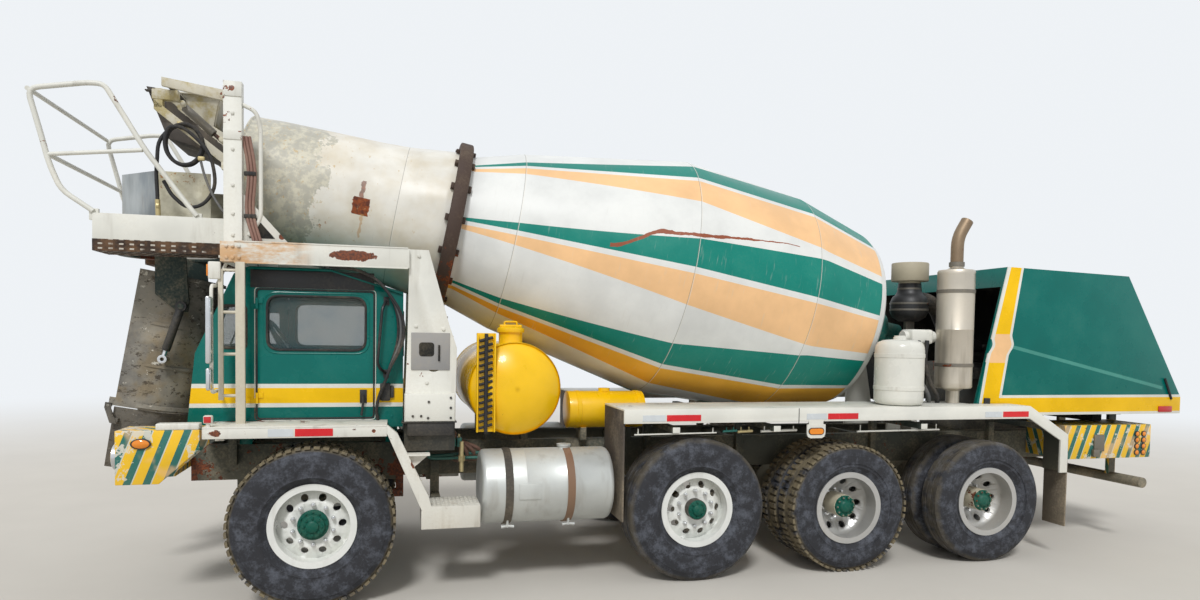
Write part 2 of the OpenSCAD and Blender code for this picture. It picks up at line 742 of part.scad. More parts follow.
// Yellow admixture tank on a shelf of the frame, left side
side_tank_r = 155;
side_tank_y = 450;
side_tank_z = 1303;
module side_tank() {
    color("gold") {
        translate([at(2610), side_tank_y, side_tank_z]) rotate([0, 90, 0]) cylinder(h = 655, r = side_tank_r);
        translate([at(2280), side_tank_y, side_tank_z + side_tank_r - 5]) cylinder(h = 30, r = 50);
    }
    color("dimgray") for (b = [2060, 2450])
        block(b, b + 50, side_tank_y - 90, side_tank_y + 90, frame_top, side_tank_z - side_tank_r + 10);
}

// Aluminium fuel tanks on both sides, with straps and brackets
fuel_back = 1180;
fuel_y = 900;
fuel_z = 760;
module fuel_tanks() {
    both() {
        color("silver") {
            translate([at(fuel_back + fuel_l), fuel_y, fuel_z]) rotate([0, 90, 0])
                cylinder(h = fuel_l, r = fuel_r, $fn = 64);
            translate([at(fuel_back + 660), fuel_y, fuel_z + fuel_r - 10]) cylinder(h = 40, r = 55);
        }
        color("black") for (b = [fuel_back + 170, fuel_back + 640]) {
            translate([at(b + 60), fuel_y, fuel_z]) rotate([0, 90, 0]) difference() {
                cylinder(h = 60, r = fuel_r + 8, $fn = 64);
                translate([0, 0, -1]) cylinder(h = 62, r = fuel_r - 1, $fn = 64);
            }
            difference() {
                block(b, b + 60, rail_y, fuel_y - 120, fuel_z - fuel_r, fuel_z + 220);
                translate([at(b + 61), fuel_y, fuel_z]) rotate([0, 90, 0]) cylinder(h = 62, r = fuel_r, $fn = 64);
            }
        }
    }
}

// Upright tank on the left rear deck
deck_top = 1370;
hyd_back = 4790;
hyd_y = 985;
hyd_r = 205;
module hydraulic_tank() {
    color("white") {
        translate([at(hyd_back), hyd_y, deck_top]) cylinder(h = 520, r = hyd_r);
        translate([at(hyd_back), hyd_y, deck_top + 520]) cylinder(h = 40, r1 = hyd_r, r2 = hyd_r - 60);
        translate([at(hyd_back), hyd_y, deck_top + 560]) cylinder(h = 40, r = 50);
    }
}

// Long decks over the rear wheels, with side rails and brackets
rear_deck_front = 2240;
rear_deck_end = 5960;
deck_in = 640;
deck_t = 14;
hood_front = 5600;
hood_clear = hood_half + 10;
skirt_h = 110;
marker_back = 3865;
marker_z = 1180;
marker_t = 12;
module rear_fenders() {
    color("white") both() {
        block(rear_deck_front, hood_front - 60, deck_in, side, deck_top - deck_t, deck_top);
        block(hood_front - 60, rear_deck_end, hood_clear, side, deck_top - deck_t, deck_top);
        block(rear_deck_front, rear_deck_end, side - 20, side, deck_top - skirt_h, deck_top - deck_t);
        side_plate([[rear_deck_end, deck_top], [6380, 1110], [6380, 770], [6365, 770], [6365, 1104],
                    [rear_deck_end, deck_top - deck_t - 2]], hood_clear, side);
        side_plate([[rear_deck_end, deck_top], [6380, 1110], [6380, 770], [6300, 770], [6300, 1060],
                    [rear_deck_end, deck_top - skirt_h]], side - 20, side);
        // Marker lamp
        block(marker_back - 65, marker_back + 65, side - marker_t, side + marker_t, marker_z - 45,
              deck_top - skirt_h + 20);
    }
    color("dimgray") both() for (b = [2640, 3500, 4870, 6180]) {
        block(b, b + 60, rail_y, rail_y + 50, 850, 1160);
        block(b, b + 60, rail_y, rail_y + 50, 1150, 1185);
        translate([0, 0, b > 6000 ? -30 : 0]) block(b, b + 60, rail_y, side - 20, 1180, 1225);
        if (b < 6000) block(b, b + 60, deck_in + 20, deck_in + 60, 1225, deck_top - deck_t);
    }
}

// Rubber flaps ahead of the pusher wheels and behind the last wheels
module mudflaps() {
    color("black") both() {
        block(rear_deck_front, rear_deck_front + 14, deck_in, side - 22, 500, deck_top - deck_t);
        block(6380, 6394, hood_clear, side - 10, 280, 1080);
    }
}

module air_cleaner() {
    color("gray") {
        translate([at(5295), 400, 2180]) cylinder(h = 330, r = 130);
        translate([at(5295), 400, 2510]) cylinder(h = 50, r = 80);
        translate([at(5295), 400, 2560]) cylinder(h = 110, r = 185);
        block(5250, 5340, rail_y - rail_flange + 35, rail_y, frame_top, 2180);
    }
    color("black") tube_route([[5295, 400, 2300], [5560, 400, 2300], [5760, 300, 2060], [5850, 300, 1900]], 75);
    color("black") bar([5850, 300, 1900], [5950, 300, 1900], 75);
}

// Upright silencer on the left deck, its stack and its pipe to the engine
muffler_back = 5450;
muffler_y = 850;
module exhaust() {
    color("silver") {
        translate([at(muffler_back), muffler_y, 1500]) cylinder(h = 1070, r = muffler_r);
        translate([at(muffler_back), muffler_y, deck_top]) cylinder(h = 130, r = 60);
    }
    color("dimgray") {
        tube_route([[muffler_back, muffler_y, 2570], [muffler_back, muffler_y, 2850],
                    [muffler_back + 30, muffler_y, 2950], [muffler_back + 90, muffler_y, 3010]], 55);
        tube_route([[muffler_back, muffler_y, 2200], [muffler_back + 300, 500, 1800], [5880, 300, 1650]], 45);
        bar([5880, 300, 1650], [5950, 300, 1650], 45);
    }
}

tail_box_top = 1150;
module engine() {
    color("dimgray") {
        block(5950, 7050, -400, 400, frame_top, 2050);
        block(7300, 7420, -600, 600, tail_box_top, 1900);
    }
}

// Tilting hood, open below and at its front
hood_outline = [[hood_front, 1260], [5920, hood_top], [7290, hood_top - 40], [tail, 1420], [tail, 1260]];
hood_inner = [[5400, 1200], [5400, hood_top - hood_wall - 140], [5925, hood_top - hood_wall - 140],
              [5950, hood_top - hood_wall], [7270, hood_top - hood_wall - 40], [tail - hood_wall, 1410],
              [tail - hood_wall, 1200]];
hood_pin_back = tail - 130;
hood_pin_z = 1225;
hood_pin_r = 18;
post_in = 300;
post_out = 339;
module engine_hood() {
    color("darkgreen") {
        difference() {
            side_plate(hood_outline, -hood_half, hood_half);
            side_plate(hood_inner, -hood_half + hood_wall, hood_half - hood_wall);
        }
        // Hinge ears
        both() {
            side_plate([[tail - hood_wall + 5, 1380], [tail - hood_wall + 5, 1260], [hood_pin_back + 30, 1195],
                        [hood_pin_back - 30, 1195], [hood_pin_back - 30, 1260]], 380, 400);
            across(hood_pin_back, post_in, 380, hood_pin_z, hood_pin_r);
        }
    }
}

// Boxes beside the tail of the frame, with the under-ride bar and the hood's hinge posts
module rear_bumper() {
    color("green") both() difference() {
        block(6670, 7690, rail_y, 900, 830, tail_box_top);
        block(6690, 7670, rail_y + 15, 885, 810, tail_box_top - 20);
    }
    color("dimgray") {
        across(7500, -1000, 1000, 600, 50);
        both() block(7460, 7540, 620, 660, 560, 1130);
        both() difference() {
            block(rail_rear + 20, hood_pin_back + 40, post_in, post_out, frame_top - 60, hood_pin_z + 40);
            across(hood_pin_back, post_in - 1, post_out + 1, hood_pin_z, hood_pin_r + 0.05);
        }
    }
}

// Steered axle beam with the eyes of the kingpins
axle_z = steer_z;
eye_r = 45;
module front_axle() {
    color("dimgray") {
        block(-50, 50, -640, 640, axle_z - 130, axle_z - 20);
        both() difference() {
            union() {
                block(-40, 40, 600, kingpin_y - 20, axle_z - 90, axle_z + 30);
                translate([at(0), kingpin_y, axle_z - 90]) cylinder(h = 180, r = eye_r);
            }
            translate([at(0), kingpin_y, axle_z - 91]) cylinder(h = 182, r = 20.5);
        }
    }
}
// Knuckle: two lugs on the kingpin, a web and the spindle
module knuckle() {
    color("gray") {
        translate([at(0), kingpin_y, axle_z - 140]) cylinder(h = 280, r = 20);
        translate([at(0), kingpin_y, axle_z - 140]) cylinder(h = 49, r = 50);
        translate([at(0), kingpin_y, axle_z + 91]) cylinder(h = 49, r = 50);
        for (z = [axle_z - 140, axle_z + 91])
            block(-45, 45, kingpin_y, kingpin_y + 80, z, z + 49);
        block(-60, 60, kingpin_y + 60, kingpin_y + 90, axle_z - 140, axle_z + 140);
        across(0, kingpin_y + 90, single_y - 20 - fit, axle_z, 45);
    }
}
module knuckle_left() { knuckle(); }
module knuckle_right() { mirror([0, 1, 0]) knuckle(); }

// Pusher axle, and the two driven axles with their differentials
module fixed_axles() {
    color("dimgray") {
        across(pusher_back, -(single_y - 20 - fit), single_y - 20 - fit, steer_z, 65);
        for (b = [tandem_back, rear_back]) {
            across(b, -(twin_y - 30 - fit), twin_y - 30 - fit, drive_z, 65);
            translate([at(b), 0, drive_z]) rotate([90, 0, 0]) cylinder(h = 260, r = 210, center = true);
        }
    }
}

// Leaf springs in front, air bags on the pusher, walking beams on the tandem
beam_out_y = twin_y - dual_pitch / 2 - drive_tyre_w / 2 - 60;
module suspension() {
    color("black") both() {
        block(-620, 620, rail_y - 70, rail_y, axle_z + 40, axle_z + 100);
        for (b = [-620, 560]) block(b, b + 60, rail_y - 60, rail_y - 10, axle_z + 100, rail_low);
        block(-50, 50, rail_y - 70, rail_y, axle_z - 20, axle_z + 40);
        translate([at(pusher_back), rail_y - 40, steer_z + 65]) cylinder(h = rail_low - steer_z - 65, r = 80);
        block(tandem_back - 80, rear_back + 80, beam_out_y - 80, beam_out_y, drive_z - 180, drive_z - 65);
        block(tandem_back + tandem_pitch / 2 - 120, tandem_back + tandem_pitch / 2 + 120, rail_y, beam_out_y,
              drive_z - 65, rail_low + 60);
    }
}

// Rim, disc and hub of a single wheel; outboard is +Z
rim_r = rim_d / 2;
rim_half = 150;
module rim(r, half) {
    rotate_extrude($fn = 72) polygon([[r - 45, -half], [r, -half], [r, -half + 10], [r - 20, -half + 16],
                                      [r - 28, 0], [r - 20, half - 16], [r, half - 10], [r, half],
                                      [r - 45, half], [r - 45, half - 20], [r - 40, 0], [r - 45, -half + 20]]);
}
module single_wheel() {
    color("white") {
        rim(rim_r, rim_half);
        difference() {
            rotate_extrude($fn = 72) polygon([[0, 60], [120, 60], [160, 70], [rim_r - 38, 0], [rim_r - 38, 16],
                                              [165, 90], [125, 76], [0, 76]]);
            for (i = [0 : 9]) rotate([0, 0, i * 36]) translate([195, 0, 0]) cylinder(h = 120, r = 26);
        }
    }
    color("seagreen") {
        translate([0, 0, -20]) cylinder(h = 80, r = 110);
        translate([0, 0, 76]) cylinder(h = 70, r = 80);
    }
}
// Two rims, the disc between them and the hub; outboard is +Z
twin_half = 105;
module twin_wheel() {
    color("silver") {
        for (s = [-1, 1]) translate([0, 0, s * dual_pitch / 2]) rim(rim_r, twin_half);
        difference() {
            for (s = [0, 1]) mirror([0, 0, s]) rotate_extrude($fn = 72)
                polygon([[0, 0], [140, 0], [rim_r - 38, dual_pitch / 2 - 60],
                         [rim_r - 38, dual_pitch / 2 - 40], [135, 16], [0, 16]]);
            for (i = [0 : 9]) rotate([0, 0, i * 36]) translate([195, 0, -160]) cylinder(h = 320, r = 26);
        }
    }
    color("seagreen") {
        translate([0, 0, -30]) cylinder(h = 14, r = 110);
        translate([0, 0, 16]) cylinder(h = 180, r = 95);
    }
}
module tyre(d, w, half) {
    r = d / 2;
    color("black") rotate_extrude($fn = 96)
        polygon([[rim_r - 19.5, -half + 16.5], [rim_r + 0.3, -half + 10.3], [rim_r + 60, -w / 2 + 6],
                 [r - 120, -w / 2], [r - 60, -w / 2 + 8], [r - 10, -w / 2 + 26], [r, -w / 2 + 50],
                 [r, w / 2 - 50], [r - 10, w / 2 - 26], [r - 60, w / 2 - 8], [r - 120, w / 2],
                 [rim_r + 60, w / 2 - 6], [rim_r + 0.3, half - 10.3], [rim_r - 19.5, half - 16.5]]);
}
module tyre_pair() {
    for (s = [-1, 1]) translate([0, 0, s * dual_pitch / 2]) tyre(drive_tyre_d, drive_tyre_w, twin_half);
}
module on_left(back, y, z) { translate([at(back), y, z]) rotate([-90, 0, 0]) children(); }
module on_right(back, y, z) { translate([at(back), -y, z]) rotate([90, 0, 0]) children(); }

frame_rails();
front_bumper();
front_fenders();
cab_shell();
cab_glass();
driver_seat();
steering_console();
door_left();
door_right();
door_glass_left();
door_glass_right();
mirrors();
ladder();
front_support();
drum_rollers();
platform();
platform_rail();
discharge_hopper();
charge_hopper();
chute_pivot();
main_chute();
folding_chute();
lift_barrels();
lift_rods();
drum_shell();
drum_ring();
rear_pedestal();
drum_drive();
water_tank();
side_tank();
fuel_tanks();
hydraulic_tank();
rear_fenders();
mudflaps();
air_cleaner();
exhaust();
engine();
engine_hood();
rear_bumper();
front_axle();
fixed_axles();
suspension();
knuckle_left();
knuckle_right();
on_left(0, single_y, steer_z) single_wheel();  // wheel_front_left
on_right(0, single_y, steer_z) single_wheel();  // wheel_front_right
on_left(pusher_back, single_y, steer_z) single_wheel();  // wheel_pusher_left
on_right(pusher_back, single_y, steer_z) single_wheel();  // wheel_pusher_right
on_left(tandem_back, twin_y, drive_z) twin_wheel();  // wheel_tandem_left
on_right(tandem_back, twin_y, drive_z) twin_wheel();  // wheel_tandem_right
on_left(rear_back, twin_y, drive_z) twin_wheel();  // wheel_rear_left
on_right(rear_back, twin_y, drive_z) twin_wheel();  // wheel_rear_right
on_left(0, single_y, steer_z) tyre(steer_tyre_d, steer_tyre_w, rim_half);  // tyre_front_left
on_right(0, single_y, steer_z) tyre(steer_tyre_d, steer_tyre_w, rim_half);  // tyre_front_right
on_left(pusher_back, single_y, steer_z) tyre(steer_tyre_d, steer_tyre_w, rim_half);  // tyre_pusher_left
on_right(pusher_back, single_y, steer_z) tyre(steer_tyre_d, steer_tyre_w, rim_half);  // tyre_pusher_right
on_left(tandem_back, twin_y, drive_z) tyre_pair();  // tyre_tandem_left
on_right(tandem_back, twin_y, drive_z) tyre_pair();  // tyre_tandem_right
on_left(rear_back, twin_y, drive_z) tyre_pair();  // tyre_rear_left
on_right(rear_back, twin_y, drive_z) tyre_pair();  // tyre_rear_right
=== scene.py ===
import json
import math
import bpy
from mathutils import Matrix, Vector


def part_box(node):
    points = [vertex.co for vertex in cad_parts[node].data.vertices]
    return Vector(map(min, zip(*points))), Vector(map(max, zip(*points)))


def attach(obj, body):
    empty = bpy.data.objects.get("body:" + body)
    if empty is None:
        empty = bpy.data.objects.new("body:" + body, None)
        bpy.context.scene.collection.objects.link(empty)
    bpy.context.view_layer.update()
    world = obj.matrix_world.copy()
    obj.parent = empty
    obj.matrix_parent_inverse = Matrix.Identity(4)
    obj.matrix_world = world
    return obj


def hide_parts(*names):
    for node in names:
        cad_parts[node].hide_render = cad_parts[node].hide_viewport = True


bl_info = {
    "name": "Front-discharge mixer truck",
    "version": (1, 0, 0),
    "blender": (4, 5, 0),
    "location": "View3D > Sidebar > Mixer truck",
    "description": "Dresses the frame of a four-axle concrete mixer truck and sets up its studio",
    "category": "Object",
}

import bmesh
import bpy
from mathutils import Matrix, Vector

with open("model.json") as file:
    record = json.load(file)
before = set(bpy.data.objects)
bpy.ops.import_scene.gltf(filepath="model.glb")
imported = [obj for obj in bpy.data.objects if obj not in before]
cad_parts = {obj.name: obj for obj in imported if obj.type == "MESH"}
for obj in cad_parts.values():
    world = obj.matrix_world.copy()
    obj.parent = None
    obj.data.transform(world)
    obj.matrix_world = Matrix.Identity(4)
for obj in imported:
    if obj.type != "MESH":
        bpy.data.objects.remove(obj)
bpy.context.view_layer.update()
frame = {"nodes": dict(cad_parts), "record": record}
BODY_OF = {node: body for body, nodes in frame["record"]["behaviour"]["bodies"].items() for node in nodes}


def middle(node):
    """Middle of a node's box."""
    low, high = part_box(node)
    return (low + high) / 2


AXLE_X = middle("wheel_front_left").x
HANDS = ((1, "left"), (-1, "right"))
CAB_SIDE = 0.851
RAIL_SIDE = 0.43
TANK_SPOT = (1.45, 1.51)
DRUM_TILT = math.radians(10.65)
DRUM_BACK = 1.0
DRUM_Z = 2.824


def at(back, y, z):
    """A place this far behind the front axle, in metres."""
    return Vector((AXLE_X - back, y, z))


def aim(origin, direction):
    """A frame whose Z axis points along direction."""
    turn = Vector(direction).normalized().to_track_quat("Z", "Y")
    return Matrix.Translation(origin) @ turn.to_matrix().to_4x4()


DRUM_FRAME = Matrix.Translation(at(DRUM_BACK, 0, DRUM_Z)) @ Matrix.Rotation(-math.pi / 2 - DRUM_TILT, 4, "Y")


def tint(red, green, blue):
    """A colour written as the screen shows it, from 0 to 255, as Blender's linear one."""
    part = [c / 255 for c in (red, green, blue)]
    return tuple(c / 12.92 if c <= 0.04045 else ((c + 0.055) / 1.055) ** 2.4 for c in part) + (1.0,)


def rounded(a, b, c, reach, steps):
    """Points of a round bend at b, on the way from a to c."""
    start, end = b + (a - b).normalized() * reach, b + (c - b).normalized() * reach
    share = [k / steps for k in range(steps + 1)]
    return [start * (1 - t) ** 2 + b * 2 * t * (1 - t) + end * t ** 2 for t in share]


def placed(name, data):
    """An object in the scene that shows some data."""
    thing = bpy.data.objects.new(name, data)
    bpy.context.scene.collection.objects.link(thing)
    return thing


class Shape:
    """A mesh being made, by the short moves that this truck's pieces need. Places are (back, y, z)."""

    def __init__(self, side=1):
        self.bm = bmesh.new()
        self.index = 0
        self.side = side

    def sides(self):
        """Both sides of the truck in turn. Until the end of each turn, y counts outwards on that side."""
        for self.side in (1, -1):
            yield self.side
        self.side = 1

    def at(self, back, y, z):
        return at(back, self.side * y, z)

    def use(self, index):
        """What follows takes the look of this number."""
        self.index = index
        return self

    def keep(self, verts):
        """Gives new faces the look in use."""
        for face in {f for v in verts for f in v.link_faces}:
            face.material_index = self.index
        return list(verts)

    def block(self, back, wide, tall, bevel=0.0):
        """A box between two places behind the axle, two widths in either order and two heights."""
        left, right = sorted(self.side * y for y in wide)
        low, high = at(back[1], left, tall[0]), at(back[0], right, tall[1])
        where = Matrix.Translation((low + high) / 2) @ Matrix.Diagonal((*(high - low), 1.0))
        verts = self.cube(where)
        if bevel:
            edges = {e for v in verts for e in v.link_edges}
            grown = bmesh.ops.bevel(self.bm, geom=list(edges), offset=bevel, segments=2, profile=0.5,
                                    affect="EDGES", material=-1, clamp_overlap=True)
            verts = list({v for f in grown["faces"] for v in f.verts} | {v for v in verts if v.is_valid})
        return self.keep(verts)

    def rod(self, start, end, radius, other=None, sides=16):
        """A round bar or cone between two places."""
        p, q = self.at(*start), self.at(*end)
        where = aim((p + q) / 2, q - p)
        return self.cone(radius, radius if other is None else other, (q - p).length, where, sides)

    def cone(self, low, high, depth, matrix, sides):
        """A cone with these radii along the Z axis of a matrix."""
        made = bmesh.ops.create_cone(self.bm, cap_ends=True, segments=sides, radius1=low, radius2=high,
                                     depth=depth, matrix=matrix)
        return self.keep(made["verts"])

    def cube(self, matrix):
        """A box of unit size, stretched and placed by a matrix."""
        return self.keep(bmesh.ops.create_cube(self.bm, size=1.0, matrix=matrix)["verts"])

    def lathe(self, profile, where, steps=64):
        """Points (radius, height) turned round the Z axis of a frame."""
        chain = [self.bm.verts.new((r, 0, h)) for r, h in profile]
        edges = [self.bm.edges.new(pair) for pair in zip(chain, chain[1:])]
        made = bmesh.ops.spin(self.bm, geom=chain + edges, cent=(0, 0, 0), axis=(0, 0, 1),
                              angle=2 * math.pi, steps=steps, use_merge=True)
        verts = set(chain) | {g for g in made["geom_last"] if isinstance(g, bmesh.types.BMVert)}
        island, front = set(), [v for v in verts if v.is_valid]
        while front:
            vert = front.pop()
            if vert not in island:
                island.add(vert)
                front += [e.other_vert(vert) for e in vert.link_edges]
        bmesh.ops.remove_doubles(self.bm, verts=list(island), dist=1e-6)
        island = [v for v in island if v.is_valid]
        bmesh.ops.transform(self.bm, matrix=where, verts=island)
        return self.keep(island)

    def strap(self, where, radius, low, tall, thick=0.005, edge=0.002, steps=72):
        """A band with slanted edges round the Z axis of a frame."""
        out, high = radius + thick, low + tall
        return self.lathe([(radius, low), (out, low + edge), (out, high - edge), (radius, high)], where,
                          steps)

    def plate(self, outline, wide):
        """An outline of (back, height) in the side view, between two widths."""
        left, right = sorted(self.side * y for y in wide)
        face = self.bm.faces.new([self.bm.verts.new(at(b, left, z)) for b, z in outline])
        made = bmesh.ops.extrude_face_region(self.bm, geom=[face])
        top = [g for g in made["geom"] if isinstance(g, bmesh.types.BMVert)]
        bmesh.ops.translate(self.bm, verts=top, vec=(0, right - left, 0))
        return self.keep(top + list(face.verts))

    def tube(self, places, radius, soft=False, closed=False, sides=2):
        """A bent tube along places, or a hose if it is soft."""
        curve = bpy.data.curves.new("route", "CURVE")
        curve.dimensions = "3D"
        curve.bevel_depth = radius
        curve.bevel_resolution = sides
        curve.use_fill_caps = not closed
        curve.resolution_u = 6
        spline = curve.splines.new("BEZIER")
        spline.bezier_points.add(len(places) - 1)
        spline.use_cyclic_u = closed
        for point, place in zip(spline.bezier_points, places):
            point.co = self.at(*place)
            point.handle_left_type = point.handle_right_type = "AUTO" if soft else "VECTOR"
        holder = bpy.data.objects.new("route", curve)
        mesh = bpy.data.meshes.new_from_object(holder)
        before = set(self.bm.verts)
        self.bm.from_mesh(mesh)
        bpy.data.objects.remove(holder)
        bpy.data.curves.remove(curve)
        bpy.data.meshes.remove(mesh)
        return self.keep([v for v in self.bm.verts if v not in before])

    def pipe(self, places, radius, bend=0.08, sides=2):
        """A metal tube with round bends."""
        route = [Vector(places[0])]
        for a, b, c in zip(places, places[1:], places[2:]):
            a, b, c = Vector(a), Vector(b), Vector(c)
            route += rounded(a, b, c, min(bend, (a - b).length * 0.45, (c - b).length * 0.45), 4)
        route.append(Vector(places[-1]))
        return self.tube([tuple(p) for p in route], radius, sides=sides)

    def bolt(self, back, y, z, radius, tall=0.01):
        """A hexagon head that stands on a side face."""
        return self.rod((back, y, z), (back, y + tall, z), radius, sides=6)

    def soften(self, bevel):
        """Rounds the sharp edges."""
        edges = [e for e in self.bm.edges
                 if len(e.link_faces) == 2 and e.calc_face_angle(0) > math.radians(50)]
        bmesh.ops.bevel(self.bm, geom=edges, offset=bevel, segments=2, profile=0.5, affect="EDGES",
                        material=-1, clamp_overlap=True)
        return self

    def piece(self, name, looks, node, instead=False, body=None, bevel=0.0, smooth=40):
        """Turns the mesh into a piece with a node's body. It may stand in for the node."""
        bmesh.ops.remove_doubles(self.bm, verts=self.bm.verts, dist=1e-6)
        if bevel:
            self.soften(bevel)
        bmesh.ops.recalc_face_normals(self.bm, faces=self.bm.faces)
        mesh = bpy.data.meshes.new(name)
        self.bm.to_mesh(mesh)
        self.bm.free()
        for each in [looks] if isinstance(looks, str) else looks:
            mesh.materials.append(look(each))
        mesh.polygons.foreach_set("use_smooth", [True] * len(mesh.polygons))
        mesh.set_sharp_from_angle(angle=math.radians(smooth))
        thing = placed(name, mesh)
        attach(thing, body or BODY_OF[node])
        if instead:
            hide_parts(node)
        return thing


def dressed(node, looks, bevel, pick=None):
    """A copy of a node's plain solid with rounded edges, which stands for the node."""
    shape = Shape()
    shape.bm.from_mesh(frame["nodes"][node].data)
    for face in shape.bm.faces:
        face.material_index = 0
    bmesh.ops.remove_doubles(shape.bm, verts=shape.bm.verts, dist=1e-5)
    bmesh.ops.dissolve_limit(shape.bm, angle_limit=math.radians(0.5), verts=shape.bm.verts[:],
                             edges=shape.bm.edges[:])
    if bevel:
        shape.soften(bevel)
    if pick:
        for face in shape.bm.faces:
            face.material_index = pick(face)
    return shape.piece(node + "_skin", looks, node, True)


def repaint(node, name):
    """Gives a node that keeps its own solid its finish."""
    thing = frame["nodes"][node]
    thing.data.materials.clear()
    thing.data.materials.append(look(name))


class Wire:
    """An output in a node tree. Each sign written between two of them adds a Math node."""

    def __init__(self, tree, socket):
        self.tree = tree
        self.socket = socket

    def __add__(self, other):
        return self.tree.math("ADD", self, other)

    def __sub__(self, other):
        return self.tree.math("SUBTRACT", self, other)

    def __rsub__(self, other):
        return self.tree.math("SUBTRACT", other, self)

    def __mul__(self, other):
        return self.tree.math("MULTIPLY", self, other)

    def __truediv__(self, other):
        return self.tree.math("DIVIDE", self, other)

    def __mod__(self, other):
        return self.tree.math("MODULO", self, other)

    def __gt__(self, other):
        return self.tree.math("GREATER_THAN", self, other)

    def __lt__(self, other):
        return self.tree.math("LESS_THAN", self, other)

    def __or__(self, other):
        return self.tree.math("MAXIMUM", self, other)

    def __abs__(self):
        return self.tree.math("ABSOLUTE", self)


class Tree:
    """A node tree, built by short calls."""

    def __init__(self, tree):
        self.tree = tree

    def wire(self, kind, inputs, out=0, **settings):
        """Adds a node, fills its inputs and gives one of its outputs."""
        node = self.tree.nodes.new(kind)
        for key, value in settings.items():
            setattr(node, key, value)
        for key, value in inputs.items():
            self.feed(node.inputs[key], value)
        return Wire(self, node.outputs[out])

    def feed(self, socket, value):
        """Links an output to a socket, or sets its number."""
        if isinstance(value, Wire):
            self.tree.links.new(value.socket, socket)
        else:
            socket.default_value = value

    def math(self, operation, a, b=0.0, clamp=False):
        return self.wire("ShaderNodeMath", {0: a, 1: b}, operation=operation, use_clamp=clamp)

    def mix(self, share, a, b, blend="MIX"):
        return self.wire("ShaderNodeMix", {0: share, 6: a, 7: b}, 2, data_type="RGBA", blend_type=blend)

    def seen(self):
        """1 for the rays that show the backdrop itself: straight, mirrored or through glass."""
        camera, glossy, through = (self.wire("ShaderNodeLightPath", {}, f"Is {kind} Ray")
                                   for kind in ("Camera", "Glossy", "Transmission"))
        return camera | glossy | through


class Graph(Tree):
    """Node tree of a material."""

    def __init__(self, name, rough=0.5, metal=0.0, coat=0.0):
        self.material = bpy.data.materials.new(name)
        self.material.use_nodes = True
        super().__init__(self.material.node_tree)
        self.shader = self.tree.nodes["Principled BSDF"]
        self.put("Metallic", metal)
        self.put("Roughness", rough)
        self.put("Coat Weight", coat)
        self.place = self.wire("ShaderNodeTexCoord", {}, "Object")

    def put(self, name, value):
        self.feed(self.shader.inputs[name], value)

    def noise(self, scale, detail=3.0, rough=0.6, where=None, stretch=None):
        vector = where or self.place
        if stretch:
            vector = self.wire("ShaderNodeMapping", {"Vector": vector, "Scale": stretch})
        return self.wire("ShaderNodeTexNoise",
                         {"Vector": vector, "Scale": scale, "Detail": detail, "Roughness": rough})

    def step(self, value, low, high, to_low=0.0, to_high=1.0):
        """A value's place between two others, as a share."""
        return self.wire("ShaderNodeMapRange", dict(enumerate((value, low, high, to_low, to_high))),
                         interpolation_type="SMOOTHSTEP")

    def between(self, value, low, high):
        """1 where the value lies between two others."""
        return (value > low) * (value < high)

    def axes(self, where=None):
        return [self.wire("ShaderNodeSeparateXYZ", {0: where or self.place}, slot) for slot in range(3)]

    def near(self, back, z, radius, ragged=0.3, long=1.0):
        """1 inside a ragged patch of the side view, which may be longer than high."""
        x, _, up = self.axes()
        dx = (x - (AXLE_X - back)) / long
        dz = up - z
        far = self.math("SQRT", dx * dx + dz * dz)
        rough = self.noise(17.0, 5.0, 0.7) * (radius * ragged * 4)
        return far + rough < radius * (1 + 2 * ragged)

    def bump(self, height, deep):
        inputs = {"Strength": deep, "Distance": 0.002, "Height": height}
        self.put("Normal", self.wire("ShaderNodeBump", inputs))


RUST = tint(132, 70, 38)
DARK_RUST = tint(78, 44, 32)
DUST = tint(176, 162, 138)


def worn(name, base, rough=0.45, metal=0.0, coat=0.0, dust=0.25, rust=0.0, chips=0.0, streaks=0.0,
         patches=(), pattern=None, bump=0.25, low_dust=True, shine=0.5):
    """A painted or bare surface with uneven colour, dust, streaks, chips and rust."""
    g = Graph(name, rough, metal, coat)
    g.put("Specular IOR Level", shine)
    colour = pattern(g) if pattern else paint(base)
    cloudy = g.noise(2.3, 4.0)
    fine = g.noise(55.0, 3.0)
    level = g.step(cloudy, 0.25, 0.75, 0.86, 1.05)
    tone = g.wire("ShaderNodeCombineColor", {0: level, 1: level, 2: level})
    colour = g.mix(1.0, colour, tone, "MULTIPLY")
    if streaks:
        run = g.step(g.noise(9.0, 3.0, stretch=(1.0, 1.0, 0.12)), 0.52, 0.75, 0.0, streaks)
        colour = g.mix(run, colour, tint(120, 108, 88))
    if dust:
        settled = g.step(cloudy * 0.7 + fine * 0.3, 0.45, 0.72, 0.0, dust)
        if low_dust:
            up = g.axes()[2]
            settled = g.math("ADD", settled, g.step(up, 1.5, 0.2, 0.0, dust * 0.8), clamp=True)
        colour = g.mix(settled, colour, DUST)
    marks = None
    if chips:
        marks = g.noise(26.0, 4.0, 0.7) > 0.78 - 0.12 * chips
    if rust:
        spots = g.noise(5.0, 5.0, 0.75) * g.noise(1.3, 2.0) > 0.42 - 0.14 * rust
        marks = marks | spots if marks else spots
    for patch in patches:
        spot = g.near(*patch)
        marks = marks | spot if marks else spot
    if marks:
        colour = g.mix(marks, colour, g.mix(g.step(fine, 0.35, 0.65), RUST, DARK_RUST))
    g.put("Base Color", colour)
    g.put("Roughness", g.step(cloudy, 0.3, 0.7, max(0.05, rough - 0.08), min(1.0, rough + 0.15)))
    g.bump(cloudy * 0.4 + fine * 0.6, bump)
    return g.material


